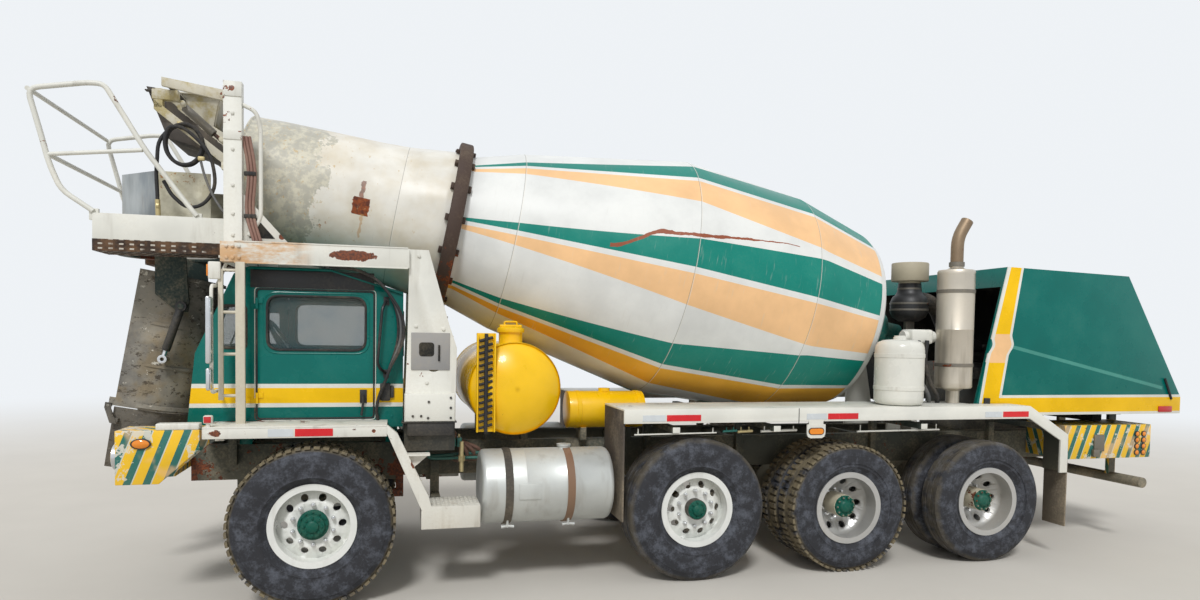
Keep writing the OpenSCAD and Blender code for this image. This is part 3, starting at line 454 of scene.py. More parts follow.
def bands(axis, limits, base):
    """A pattern of bands across one axis: (from, to, colour), with base between them."""

    def pattern(g):
        place = g.axes()[axis]
        colour = base
        for low, high, band in limits:
            colour = g.mix(g.between(place, low, high), colour, band)
        return colour

    return pattern


def settings():
    return bpy.context.scene.mixer_truck


def paint(colour):
    """A colour of the panel by its name, or one by its three numbers."""
    return tuple(getattr(settings().paints, colour)) if isinstance(colour, str) else tint(*colour)


def cab_pattern(g):
    """Green with a yellow stripe between two white lines."""
    cab = settings().cab
    line = cab.stripe_line
    low, high = cab.stripe_low, cab.stripe_high
    return bands(2, [(low - line, high + line, paint("white")), (low, high, paint("yellow"))],
                 paint("green"))(g)


def hood_pattern(g):
    """Green sides with a yellow stripe up the front edge and along the foot, with white lines."""
    x, y, z = g.axes()
    back = AXLE_X - x
    lean = (z - 1.26) * 0.165
    kink = g.step(abs(z - 1.9), 0.1, 0.0, 0.0, 0.035)
    edge = back - lean - kink
    colour = paint("green")
    side = edge < 5.865
    foot = z < 1.445
    colour = g.mix(side | foot, colour, paint("white"))
    inset = back - (z - 1.26) * 0.237
    side = g.between(edge, 5.665, 5.84) * (inset > 5.63)
    foot = g.between(z, 1.285, 1.42) * (edge > 5.665)
    faded = g.mix(g.between(z, 1.74, 2.0), paint("yellow"), paint("peach"))
    colour = g.mix(side | foot, colour, faded)
    front = edge < 5.635
    # A paler teal line along the hood's crease, as a painted highlight
    crease_at = 1.885 - (back - 6.0) * 0.215
    off = z - crease_at
    crease_highlight = g.between(off, -0.016, 0.016) * g.between(back, 6.0, 7.75)
    colour = g.mix(crease_highlight * 0.35, colour, tint(120, 200, 185))
    colour = g.mix(front, colour, paint("green"))
    outer = abs(y) > 0.937
    return g.mix(outer, paint("green"), colour)


def hazard_pattern(g):
    """Slanted green and yellow stripes, with white where they have peeled."""
    x, y, z = g.axes()
    run = x + z * 0.38 + y
    part = (run + 20.0) % 0.118
    colour = g.mix(part < 0.064, paint("green"), paint("yellow"))
    faded = g.step(g.noise(3.5, 3.0), 0.52, 0.64, 0.0, 0.55)
    colour = g.mix(faded, colour, paint("peach"))
    back = AXLE_X - x
    outer = abs(y) > 1.14
    more = g.step(back, -1.04, -1.16, 0.0, 0.065) * outer + g.step(z, 1.2, 1.25, 0.0, 0.03)
    pale = g.noise(10.0, 5.0, 0.7) + more > 0.59
    line = g.between(part, 0.064, 0.072) | pale
    return g.mix(line * 0.85, colour, tint(222, 219, 206))


def stand_pattern(g):
    """White with an ochre stain along the roof beam, and a dark foot between the legs and the frame."""
    x, y, z = g.axes()
    back = AXLE_X - x
    beam = g.between(z, 2.39, 2.56) * (abs(y) > 0.9)
    stain = beam * g.step(back, 0.02, -0.18)
    stain = stain * g.step(g.noise(7.0, 5.0, 0.7, stretch=(0.5, 1.0, 1.6)), 0.38, 0.58)
    colour = g.mix(stain * 0.8, paint("white"), tint(208, 154, 86))
    return g.mix(z < 1.268, colour, tint(30, 36, 36))


def grating_pattern(g):
    """Dark rusty floor plate with pale slots in slanted rows."""
    x, y, z = g.axes()
    row = (y + z * 1.6 + 20.0) % 0.052
    shift = g.math("FLOOR", (y + 20.0) / 0.052) * 0.031
    slot = (x + shift + 20.0) % 0.066
    pale = g.between(row, 0.014, 0.032) * g.between(slot, 0.01, 0.038)
    pale = pale * g.step(g.noise(6.0, 4.0), 0.4, 0.52)
    base = g.mix(g.step(g.noise(8.0, 5.0, 0.7), 0.4, 0.65), tint(52, 38, 30), tint(104, 76, 52))
    return g.mix(pale, base, tint(196, 190, 178))


def drum_pattern(g):
    """Pairs of widening bands round the drum, green above and peach below each white line."""
    home = {"Vector": g.place, "Location": DRUM_FRAME.translation,
            "Rotation": (0, -math.pi / 2 - DRUM_TILT, 0)}
    local = g.wire("ShaderNodeMapping", home, vector_type="TEXTURE")
    up, out, along = g.axes(local)
    angle = g.math("ARCTAN2", out, up) * (180 / math.pi)
    drum = settings().drum
    turned = angle - drum.line_angle
    bent = turned + g.math("SINE", g.math("RADIANS", turned)) * 4.2
    pitch = 360 / drum.pairs
    part = (bent + 10 * pitch) % pitch
    spread = g.math("MINIMUM", along, 3.1) * 6.1
    half = 1.5
    below = part < spread + (3.2 + half)
    peach = below * (part > half)
    above = part > pitch - 2.0 - half - spread
    green = above * (part < pitch - half)
    body = g.between(along, 0.06, 3.735)
    white = tint(228, 230, 228)
    front = g.mix(g.step(g.noise(1.9, 4.0), 0.38, 0.66), tint(232, 230, 222), tint(216, 208, 190))
    colour = g.mix(along < 0.06, white, front)
    # Painted light: the bands are pale peach on the drum's upper side and deeper yellow underneath
    shaded_side = g.step(angle, 118, 138)
    colour = g.mix(peach * body, colour, g.mix(shaded_side, paint("peach"), tint(240, 178, 62)))
    colour = g.mix(green * body, colour, paint("drum_green"))
    # Each seam: a thin dark joint, and next to it a pale line as a painted highlight on the seam's edge
    for seam in (0.48, 1.885, 3.015, -0.45):
        colour = g.mix(g.between(along, seam - 0.003, seam + 0.002) * 0.5, colour, tint(96, 92, 84))
        colour = g.mix(g.between(along, seam + 0.002, seam + 0.008) * 0.6, colour, tint(232, 230, 222))
    # Scratch down to rust across a green band
    dip = g.step(along, 1.2, 1.62) * -11.0
    line_at = dip + 87.0 + g.step(along, 1.62, 2.9) * -9.0
    wobble = g.noise(7.0) * 1.5
    off = abs(angle + wobble - (line_at + 0.8))
    thick = g.noise(11.0, 4.0) * g.step(along, 2.9, 1.5, 0.4, 1.9)
    scratch = (off < thick) * g.between(along, 1.2, 2.8)
    colour = g.mix(scratch, colour, tint(150, 84, 58))
    # Rust square with a run above and a drip below it, on the front cone
    frayed = (g.noise(24.0, 4.0) - 0.5) * 0.05
    wavy = along + frayed
    square = g.between(wavy, -0.775, -0.65) * g.between(angle, 89.5, 103.0)
    run = g.between(wavy, -0.735, -0.7) * g.between(angle, 76.0, 90.0)
    drip = g.between(wavy, -0.7, -0.68) * g.between(angle, 102.0, 121.0)
    rusty = g.mix(g.step(g.noise(34.0), 0.35, 0.65), tint(150, 76, 34), tint(92, 46, 30))
    colour = g.mix(square | run * 0.75, colour, rusty)
    colour = g.mix(drip * 0.55, colour, tint(196, 150, 90))
    # Cement splashes, thickest at the mouth, with flecks of rust among them
    edge = g.step(along, -0.82, -1.28, 0.0, 0.42)
    splash = g.noise(3.6, 6.0, 0.72, where=local) + edge > 0.7
    thin = g.mix(g.step(g.noise(13.0, 5.0, 0.7, where=local), 0.42, 0.62), tint(184, 182, 170),
                 tint(212, 208, 190))
    colour = g.mix(splash * (along < -0.5), colour, thin)
    flecks = g.noise(26.0, 5.0, 0.75, where=local, stretch=(1.0, 1.0, 1.5))
    fleck = flecks + g.step(along, -0.5, -1.4, 0.0, 0.06) > 0.665
    colour = g.mix(fleck * g.step(along, -0.1, -0.4, 0.0, 0.8), colour, tint(198, 172, 124))
    low = g.step(angle, 96, 122) * g.step(along, -0.7, -1.0)
    dots = g.noise(30.0, 5.0, 0.7, where=local) > 0.655
    colour = g.mix(dots * low, colour, tint(168, 112, 54))
    runs = g.step(g.noise(5.0, 3.0, where=local, stretch=(1.0, 1.0, 9.0)), 0.6, 0.8, 0.0, 0.3)
    return g.mix(runs, colour, tint(205, 205, 200))


def hopper_shadow_pattern(g):
    """Cream, with a painted shadow on the funnel's sides below a slanted line."""
    x, y, z = g.axes()
    back = AXLE_X - x
    # Painted shadow: the funnel's sides turn dark below a slanted line with a ragged edge
    line_at = 3.6 - (back + 1.05) * 0.857
    ragged = (g.noise(9.0, 5.0, 0.7) - 0.5) * 0.09
    low = z + ragged < line_at
    dark = low * (abs(y) < 0.4)
    cream = g.mix(g.step(g.noise(7.0, 5.0, 0.7), 0.45, 0.65), tint(208, 203, 186), tint(180, 166, 118))
    return g.mix(dark, cream, g.mix(g.noise(14.0, 4.0), tint(52, 46, 42), tint(86, 80, 74)))


def collector_pattern(g):
    """Galvanised front, and cream sides with rust specks near the top."""
    x, _, z = g.axes()
    zinc = g.mix(g.step(g.noise(4.0, 4.0, stretch=(1.0, 1.0, 0.3)), 0.35, 0.65), tint(136, 144, 150),
                 tint(182, 188, 190))
    cream = g.mix(g.step(g.noise(6.0, 4.0), 0.4, 0.62), tint(206, 202, 182), tint(178, 172, 148))
    specks = g.noise(20.0, 5.0, 0.7) + g.step(z, 2.7, 3.08, 0.0, 0.07) > 0.67
    cream = g.mix(specks, cream, tint(150, 104, 48))
    return g.mix(AXLE_X - x > -1.158, zinc, cream)


def concrete_pattern(g):
    """Set cement over steel, with pale splashes and dark gaps."""
    base = g.mix(g.step(g.noise(2.6, 5.0), 0.38, 0.62), tint(104, 102, 98), tint(150, 146, 136))
    base = g.mix(g.step(g.noise(1.9, 4.0, 0.7), 0.52, 0.64, 0.0, 0.55), base, tint(136, 118, 84))
    dark = g.noise(17.0, 6.0, 0.8, stretch=(0.7, 1.0, 1.4)) > 0.575
    base = g.mix(dark * 0.8, base, tint(60, 52, 43))
    high = g.step(g.axes()[2], 1.9, 2.4, 0.0, 0.05)
    pale = g.noise(15.0, 5.0, 0.75, stretch=(0.8, 1.0, 1.3)) + high
    return g.mix(pale > 0.655, base, tint(208, 204, 192))


def dark_concrete_and_shade(g):
    """Old cement over dark steel; on the charging hopper's downward faces it stands as painted shade."""
    return g.mix(0.6, concrete_pattern(g), tint(44, 38, 34))


def clear(name, colour, alpha):
    """Window glass or a lamp's lens."""
    rough = 0.03
    g = Graph(name, rough)
    g.put("Base Color", g.mix(g.step(g.noise(3.0), 0.4, 0.7, 0.0, 0.25), colour, DUST))
    g.put("Alpha", alpha)
    g.put("Roughness", g.step(g.noise(6.0), 0.3, 0.7, rough, rough + 0.12))
    return g.material


def tyre_rubber(name):
    """Black rubber, grey-blue with dust on the walls and tan on the tread."""
    g = Graph(name, 0.8)
    wear = g.wire("ShaderNodeAttribute", {}, "Fac", attribute_name="tread")
    cloudy = g.noise(9.0, 6.0, 0.72) * 0.8 + g.noise(70.0) * 0.2
    wall = g.mix(g.step(cloudy, 0.44, 0.66), tint(38, 39, 44), tint(80, 84, 93))
    mud = g.mix(g.noise(22.0, 4.0), tint(138, 126, 98), tint(84, 76, 62))
    share = wear * g.step(g.noise(8.0), 0.3, 0.55)
    g.put("Base Color", g.mix(share, wall, mud))
    g.bump(g.noise(60.0, 3.0), 0.3)
    return g.material


FINISHES = {
    "White paint": dict(base="white", dust=0.3, rust=0.25, chips=0.4, streaks=0.35),
    "Clean white paint": dict(base="white", rough=0.3, dust=0.12, chips=0.1, low_dust=False),
    "Stand paint": dict(base="white", dust=0.2, rust=0.3, chips=0.55, streaks=0.3, pattern=stand_pattern,
                        patches=((0.25, 2.472, 0.036, 0.36, 4.6), (-0.565, 3.62, 0.02),
                                 (-0.24, 2.6, 0.022))),
    "Fender paint": dict(base="white", dust=0.35, rust=0.45, chips=0.75, streaks=0.45,
                         patches=((0.685, 1.0, 0.036, 0.36, 0.6), (-0.61, 1.235, 0.018, 0.9, 2.4),
                                  (0.41, 1.235, 0.014))),
    "Deck paint": dict(base="white", rough=0.35, dust=0.1, rust=0.1, chips=0.25),
    "Cab paint": dict(base="green", rough=0.24, dust=0.04, chips=0.1, pattern=cab_pattern, bump=0.08,
                      low_dust=False, shine=0.24),
    "Hood paint": dict(base="green", rough=0.26, dust=0.04, chips=0.08, pattern=hood_pattern, bump=0.08,
                       low_dust=False, shine=0.24),
    "Green paint": dict(base="green", rough=0.45, dust=0.3, chips=0.4),
    "Hub paint": dict(base=(0, 84, 70), rough=0.4, dust=0.12, chips=0.35, shine=0.25, low_dust=False),
    "Hazard paint": dict(base="green", rough=0.45, dust=0.2, chips=0.7, pattern=hazard_pattern),
    "Drum paint": dict(base="white", rough=0.36, dust=0.05, chips=0.12, pattern=drum_pattern, bump=0.12,
                       low_dust=False, shine=0.3),
    "Yellow paint": dict(base="yellow", rough=0.28, coat=0.2, dust=0.04, chips=0.25, bump=0.1, shine=0.35),
    "Frame paint": dict(base=(32, 52, 50), rough=0.7, dust=0.55, rust=0.5),
    "Brown rust": dict(base=(74, 58, 50), rough=0.75, metal=0.2, dust=0.2, rust=0.8, low_dust=False),
    "Platform rust": dict(base=(132, 70, 38), rough=0.85, dust=0.1, rust=0.4, pattern=grating_pattern,
                          low_dust=False),
    "Hopper steel": dict(base="white", rough=0.5, metal=0.15, dust=0.15, rust=0.3, streaks=0.4,
                         pattern=collector_pattern, low_dust=False),
    "Ladder paint": dict(base=(208, 202, 184), dust=0.4, rust=0.4, chips=0.6, streaks=0.5),
    "Bare steel": dict(base=(122, 118, 110), rough=0.5, metal=0.6, dust=0.35, rust=0.5),
    "Muffler steel": dict(base=(206, 198, 184), rough=0.38, metal=0.75, dust=0.15, streaks=0.5,
                          low_dust=False),
    "Stack steel": dict(base=(138, 118, 96), rough=0.42, metal=0.7, dust=0.2, rust=0.3, low_dust=False),
    "Bright steel": dict(base=(214, 216, 218), rough=0.22, metal=0.95, dust=0.1),
    "Tank aluminium": dict(base=(200, 203, 200), rough=0.46, metal=0.45, dust=0.12, streaks=0.25, bump=0.15,
                           low_dust=False),
    "Wheel white": dict(base=(232, 234, 230), rough=0.4, dust=0.15, streaks=0.2, low_dust=False),
    "Wheel aluminium": dict(base=(196, 196, 194), rough=0.35, metal=0.6, dust=0.3, low_dust=False),
    "Cement": dict(base=(142, 138, 128), rough=0.9, dust=0.3, rust=0.2, pattern=concrete_pattern, bump=0.9),
    "Black rubber": dict(base=(34, 34, 36), rough=0.75, dust=0.25),
    "Flap rubber": dict(base=(58, 52, 50), rough=0.85, dust=0.45),
    "Red hose": dict(base=(138, 104, 93), rough=0.7, dust=0.3),
    "Black plastic": dict(base=(30, 31, 33), rough=0.5, dust=0.15),
    "Grey plate": dict(base=(150, 150, 150), rough=0.6, dust=0.25, rust=0.15),
    "Black vinyl": dict(base=(44, 44, 48), rough=0.5, dust=0.1, bump=0.5),
    "Engine grey": dict(base=(70, 72, 70), rough=0.7, dust=0.4, rust=0.3),
    # Near-black: painted shade in holes, vents and the hood's inner faces, and the real dark of the radiator
    # and the marker lamps' rims
    "Dark inside": dict(base=(20, 22, 22), rough=0.9, dust=0.15),
    "Red reflector": dict(base=(214, 22, 34), rough=0.2, dust=0.05, bump=0.05, low_dust=False),
    "Silver reflector": dict(base=(206, 212, 216), rough=0.2, dust=0.05, bump=0.05, low_dust=False),
    "Amber lens": dict(base=(240, 140, 10), rough=0.15, coat=0.5, dust=0.05, bump=0.05),
    "Red lens": dict(base=(190, 16, 20), rough=0.15, coat=0.5, dust=0.05, bump=0.05),
    "Hub cream": dict(base=(206, 200, 178), rough=0.5, dust=0.4, rust=0.3, chips=0.4),
    "Hopper paint": dict(base="white", rough=0.7, dust=0.15, rust=0.3, chips=0.4, streaks=0.4,
                         pattern=hopper_shadow_pattern, low_dust=False),
    "Dark cement": dict(base=(142, 138, 128), rough=0.9, dust=0.2, rust=0.4, pattern=dark_concrete_and_shade,
                        bump=0.9),
    "Cap beige": dict(base=(176, 168, 146), rough=0.6, dust=0.3, low_dust=False),
    "Strap rust": dict(base=(120, 84, 60), rough=0.7, dust=0.3, rust=0.5),
    "Brass": dict(base=(196, 180, 132), rough=0.45, metal=0.5, dust=0.3),
    "Hose grey": dict(base=(92, 94, 96), rough=0.7, dust=0.3),
    "Tyre rubber": dict(maker=tyre_rubber),
    "Window glass": dict(maker=clear, colour=tint(70, 96, 100), alpha=0.35),
    "Clear lens": dict(maker=clear, colour=tint(222, 228, 230), alpha=0.6),
    "Mirror glass": dict(base=(225, 228, 230), rough=0.06, metal=1.0, dust=0.05, bump=0.02),
}


def look(name):
    """The finish of this name, made at its first use."""
    made = bpy.data.materials.get(name)
    if made:
        return made
    facts = dict(FINISHES[name])
    return facts.pop("maker", worn)(name, **facts)


def wheel_frame(back, y, z, side):
    """Frame of a wheel on one side of the truck: Z points outwards."""
    turn = Matrix.Rotation(math.radians(-90 * side), 4, "X")
    return Matrix.Translation(at(back, y * side, z)) @ turn


RIM = 0.2985
TWIN_PITCH = 0.325
# Axle, place behind the front one, half track, tyre radius, twin tyres, tread blocks, hub's finish
WHEELS = (("front", 0.0, 1.02, 0.565, False, True, "Hub paint"),
          ("pusher", 2.87, 1.02, 0.565, False, False, "Black plastic"),
          ("tandem", 4.21, 0.92, 0.53, True, True, "Hub cream"),
          ("rear", 5.58, 0.92, 0.53, True, False, "Hub cream"))


def each_wheel():
    """The names' ending, the frame and the radius, then whether twin, whether blocks, and the hub's look."""
    for axle, back, y, radius, twin, blocks, hub in WHEELS:
        for side, hand in HANDS:
            yield f"{axle}_{hand}", wheel_frame(back, y, radius, side), radius, twin, blocks, hub


def eased(profile, gap):
    """Adds a point on each side of every corner, so that the stretches between stay straight."""
    route = [Vector(p) for p in profile]
    out = [route[0]]
    for a, b, c in zip(route, route[1:], route[2:]):
        back, on = a - b, c - b
        if back.length > 3 * gap:
            out.append(b + back.normalized() * gap)
        out.append(b)
        if on.length > 3 * gap:
            out.append(b + on.normalized() * gap)
    return [tuple(p) for p in out + [route[-1]]]


def one_tyre(shape, where, radius, width, half, blocks):
    """A tyre with grooves and a ribbed wall round the Z axis of a frame, with rows of blocks or without."""
    tyre = settings().tyres
    w, base = width / 2, radius - (tyre.block_depth if blocks else 0.001)
    grooves = [w * k for k in (0.22, 0.58)]
    wall = [(base, 0.0)]
    for g in grooves:
        wall += [(base, g - 0.007), (base - 0.01, g - 0.004), (base - 0.01, g + 0.004), (base, g + 0.007)]
    wall += [(base, w - 0.055), (min(base - 0.004, radius - 0.014), w - 0.034), (radius - 0.04, w - 0.016),
             (radius - 0.066, w - 0.008), (radius - 0.07, w - 0.004), (radius - 0.078, w - 0.004),
             (radius - 0.082, w - 0.003), (radius - 0.115, w), (radius - 0.155, w), (RIM + 0.078, w - 0.005),
             (RIM + 0.06, w - 0.008), (RIM + 0.052, w - 0.004), (RIM + 0.044, w - 0.01),
             (RIM + 0.026, w - 0.45 * (w - half) - 0.014), (RIM + 0.0003, half - 0.0103),
             (RIM - 0.0195, half - 0.0165)]
    ring = wall + [(r, -h) for r, h in reversed(wall)]
    shape.lathe(ring + [wall[0]], where, steps=96)
    if not blocks:
        return
    count = tyre.blocks
    pitch = 2 * math.pi * radius / count
    rows = [(w - 0.04, 0.052, 0.62), (w * 0.4, w * 0.24, 0.55)]
    for h, long, share in rows:
        for side in (-1, 1):
            for i in range(count):
                turn = 2 * math.pi * (i + (0.5 if side > 0 else 0.0)) / count
                spot = Matrix.Rotation(turn, 4, "Z") @ Matrix.Translation((radius - 0.0095, 0, side * h))
                shape.cube(where @ spot @ Matrix.Diagonal((0.018, pitch * share, long, 1)))


def mark_tread(shape, where, radius, share):
    """Writes how far out each point lies, which the rubber's dust follows."""
    layer = shape.bm.verts.layers.float.new("tread")
    back = where.inverted()
    for vert in shape.bm.verts:
        local = back @ vert.co
        vert[layer] = share * min(1.0, max(0.0, (math.hypot(local.x, local.y) - radius + 0.035) / 0.015))


class MIXER_OT_tyres(bpy.types.Operator):
    """Tyres with block treads and ribbed walls"""
    bl_idname = "mixer_truck.tyres"
    bl_label = "Tyres"

    def execute(self, context):
        for name, where, radius, twin, blocks, _ in each_wheel():
            shape = Shape()
            width, half = (0.275, 0.105) if twin else (0.4, 0.15)
            for offset in (-TWIN_PITCH / 2, TWIN_PITCH / 2) if twin else (0,):
                one_tyre(shape, where @ Matrix.Translation((0, 0, offset)), radius, width, half, blocks)
            mark_tread(shape, where, radius, 1.0 if blocks else 0.35)
            node = "tyre_" + name
            shape.piece(node + "_tread", "Tyre rubber", node, True)
        return {"FINISHED"}


def ring_of(shape, where, count, reach, radius, low, high, sides=6, turn=0.0):
    """Rods that stand in a circle round the Z axis of a frame."""
    for i in range(count):
        spot = where @ Matrix.Rotation(2 * math.pi * i / count + turn, 4, "Z")
        spot = spot @ Matrix.Translation((reach, 0, (low + high) / 2))
        shape.cone(radius, radius * 0.9, high - low, spot, sides)


class MIXER_OT_wheels(bpy.types.Operator):
    """Wheels with their nuts, hubs and valves"""
    bl_idname = "mixer_truck.wheels"
    bl_label = "Wheels"

    def execute(self, context):
        for name, where, _, twin, _, hub_look in each_wheel():
            node = "wheel_" + name
            back = where.inverted()
            hub = 0.0965 if twin else 0.0815

            def pick(face):
                local = [back @ vert.co for vert in face.verts]
                out = max(math.hypot(p.x, p.y) for p in local)
                return 1 if out < hub and max(p.z for p in local) > 0.02 else 0

            dressed(node, ["Wheel aluminium" if twin else "Wheel white", hub_look], 0, pick=pick)
            shape = Shape()
            if twin:
                ring_of(shape.use(0), where, 10, 0.1175, 0.016, 0.014, 0.05, turn=0.31)
                shape.use(1).lathe([(0.0, 0.236), (0.03, 0.234), (0.048, 0.226), (0.056, 0.21),
                                    (0.078, 0.205), (0.09, 0.2), (0.093, 0.182)], where, steps=40)
                ring_of(shape.use(1), where, 10, 0.077, 0.0165, 0.196, 0.216, sides=12)
                ring_of(shape.use(2), where, 10, 0.077, 0.008, 0.216, 0.226)
            else:
                ring_of(shape.use(0), where, 10, 0.1425, 0.017, 0.08, 0.112, turn=0.31)
                ring_of(shape.use(0), where, 10, 0.1425, 0.01, 0.112, 0.126, sides=10, turn=0.31)
                shape.use(1).lathe([(0.0, 0.176), (0.026, 0.174), (0.04, 0.166), (0.044, 0.15),
                                    (0.074, 0.148), (0.079, 0.14)], where, steps=40)
                ring_of(shape.use(1), where, 8, 0.06, 0.01, 0.147, 0.16)
                if name.startswith("front"):
                    shape.lathe([(0.079, 0.118), (0.102, 0.116), (0.106, 0.11), (0.106, 0.088),
                                 (0.1, 0.082)], where, steps=40)
                    ring_of(shape, where, 12, 0.093, 0.008, 0.116, 0.127)
                else:
                    # Dark discs in the wheel's hand holes, as painted shade
                    ring_of(shape.use(3), where, 10, 0.178, 0.02, 0.0795, 0.0815, sides=16)
            shape.use(0).lathe([(0.0, 0.13), (0.004, 0.13), (0.004, 0.08), (0.0, 0.08)],
                               where @ Matrix.Translation((0.24, 0, 0)), steps=8)
            shape.piece("hub_" + name, ["Bright steel", "Hub paint", "Bare steel", "Dark inside"], node,
                        bevel=0.0015)
        return {"FINISHED"}


# Points (place along the axis, radius) of the drum's outline from its mouth
DRUM_PROFILE = [(-1.65, 0.52), (-1.4, 0.54), (-0.66, 0.572), (-0.45, 0.588), (-0.09, 0.644), (0.09, 0.645),
                (0.48, 0.77), (1.89, 1.068), (3.01, 1.025), (3.72, 0.86), (3.8, 0.82), (3.86, 0.74),
                (4.0, 0.42), (4.0, 0.0)]
DRUM_WALL = 0.01


class MIXER_OT_drum(bpy.types.Operator):
    """Drum shell, the lip of its mouth and its track ring"""
    bl_idname = "mixer_truck.drum"
    bl_label = "Drum"

    def execute(self, context):
        outer = eased([(r, s) for s, r in DRUM_PROFILE], 0.012)
        inner = [(max(0.0, r - DRUM_WALL), s - (DRUM_WALL if s > 3.9 else 0.0)) for r, s in reversed(outer)]
        inner[-1] = (0.51, -1.65)
        shape = Shape()
        shape.use(0).lathe(outer, DRUM_FRAME, steps=128)
        shape.use(1).lathe(inner, DRUM_FRAME, steps=64)
        shape.use(0).lathe([(0.51, -1.65), (0.512, -1.656), (0.526, -1.656), (0.53, -1.646),
                            (0.522, -1.634)], DRUM_FRAME, steps=96)
        # Spiral blades show inside the mouth
        shape.use(1)
        for start in (0.0, math.pi):
            for i in range(72):
                turn = Matrix.Rotation(start + i * math.radians(7), 4, "Z")
                spot = turn @ Matrix.Translation((0.46, 0, -1.6 + i * 0.017))
                shape.cube(DRUM_FRAME @ spot @ Matrix.Diagonal((0.11, 0.062, 0.008, 1)))
        shape.piece("drum_skin", ["Drum paint", "Cement"], "drum_shell", True, smooth=30)

        shape = Shape()
        shape.lathe([(0.646, -0.052), (0.716, -0.055), (0.73, -0.05), (0.735, -0.04), (0.735, 0.04),
                     (0.73, 0.05), (0.716, 0.055), (0.646, 0.052)], DRUM_FRAME, steps=128)
        for side in (-1, 1):
            for i in range(16):
                turn = Matrix.Rotation(math.radians(22.5 * i), 4, "Z")
                spot = turn @ Matrix.Translation((0.665, 0, side * 0.066))
                shape.cube(DRUM_FRAME @ spot @ Matrix.Diagonal((0.03, 0.05, 0.03, 1)))
        shape.piece("drum_track", "Brown rust", "drum_ring", True, bevel=0.002)
        return {"FINISHED"}


def frame_line(shape, corners, y, radius, bend=0.05):
    """A closed seal of round section in the side view, through (back, height) corners."""
    around = [Vector(p) for p in corners[-1:] + corners + corners[:1]]
    spots = [p for a, b, c in zip(around, around[1:], around[2:]) for p in rounded(a, b, c, bend, 5)]
    shape.tube([(spot[0], y, spot[1]) for spot in spots], radius, closed=True)


def arc(back, z, radius, start, span, steps):
    """Points (back, height) of an arc in the side view, with its angles in degrees."""
    turns = [math.radians(start + span * k / steps) for k in range(steps + 1)]
    return [(back + radius * math.cos(t), z + radius * math.sin(t)) for t in turns]


def window(low, high):
    """Corners of an upright window between two (back, height) corners."""
    return [low, (high[0], low[1]), high, (low[0], high[1])]


class MIXER_OT_cab(bpy.types.Operator):
    """Cab shell, glazing, seals, black strips under the roof's edge as painted shadow, handles and wipers"""
    bl_idname = "mixer_truck.cab"
    bl_label = "Cab"

    def execute(self, context):
        dressed("cab_shell", "Cab paint", 0.014)
        repaint("cab_glass", "Window glass")
        shape = Shape()
        for _ in shape.sides():
            for index, low, high, radius in ((0, (-0.41, 1.29), (0.4, 2.225), 0.006),
                                             (0, (-0.64, 1.8), (-0.48, 2.1), 0.01),
                                             (1, (-0.422, 1.278), (0.412, 2.237), 0.0028)):
                frame_line(shape.use(index), window(low, high), CAB_SIDE, radius, 0.03)
        shape.use(0)
        # Windscreen and rear window
        low, high = (-0.806, 1.8), (-0.581, 2.3)
        shape.tube([(low[0], -0.735, low[1]), (low[0], 0.735, low[1]), (high[0], 0.735, high[1]),
                    (high[0], -0.735, high[1])], 0.012, closed=True)
        shape.tube([(0.606, -0.6, 1.75), (0.606, 0.6, 1.75), (0.606, 0.6, 2.09), (0.606, -0.6, 2.09)], 0.012,
                   closed=True)
        for y in (-0.36, 0.36):
            shape.rod((-0.815, y, 1.8), (-0.7, y + 0.05, 2.08), 0.006)
            shape.rod((-0.79, y - 0.14, 1.87), (-0.66, y + 0.22, 2.15), 0.008)
        shape.piece("cab_seals", ["Black rubber", "White paint"], "mudflaps")

        # Black strip below the roof's edge, above the side windows, as painted shadow
        shape = Shape()
        for _ in shape.sides():
            shape.block((-0.45, 0.4), (0.849, 0.857), (2.235, 2.362))
        shape.piece("cab_roof_shade", "Black plastic", "steering_console", bevel=0.002)

        shape = Shape()
        for _ in shape.sides():
            y = CAB_SIDE
            shape.pipe([(0.487, y, 2.16), (0.46, y + 0.055, 2.11), (0.424, y + 0.055, 1.68),
                        (0.487, y, 1.62)], 0.011, 0.06)
            for z in (1.62, 2.16):
                shape.block((0.467, 0.507), (y, y + 0.008), (z - 0.03, z + 0.03))
            shape.block((0.444, 0.52), (y, y + 0.035), (1.417, 1.551), bevel=0.012)
            shape.block((0.52, 0.545), (y, y + 0.022), (1.44, 1.53), bevel=0.006)
        shape.piece("cab_handles", "Black plastic", "steering_console", bevel=0.001)
        # Rain gutter and the panel joints of the cab's side
        shape = Shape()
        for _ in shape.sides():
            y = (0.848, 0.866)
            shape.block((-0.5, 0.1), y, (2.366, 2.378))
            shape.plate([(0.1, 2.378), (0.6, 2.222), (0.6, 2.212), (0.1, 2.366)], y)
            for b in (-0.47, 0.53):
                for z in (1.3, 1.45, 1.65, 1.85, 2.05):
                    shape.bolt(b, 0.85, z, 0.008, 0.005)
        shape.piece("cab_trim", "Cab paint", "cab_shell", bevel=0.002)
        return {"FINISHED"}


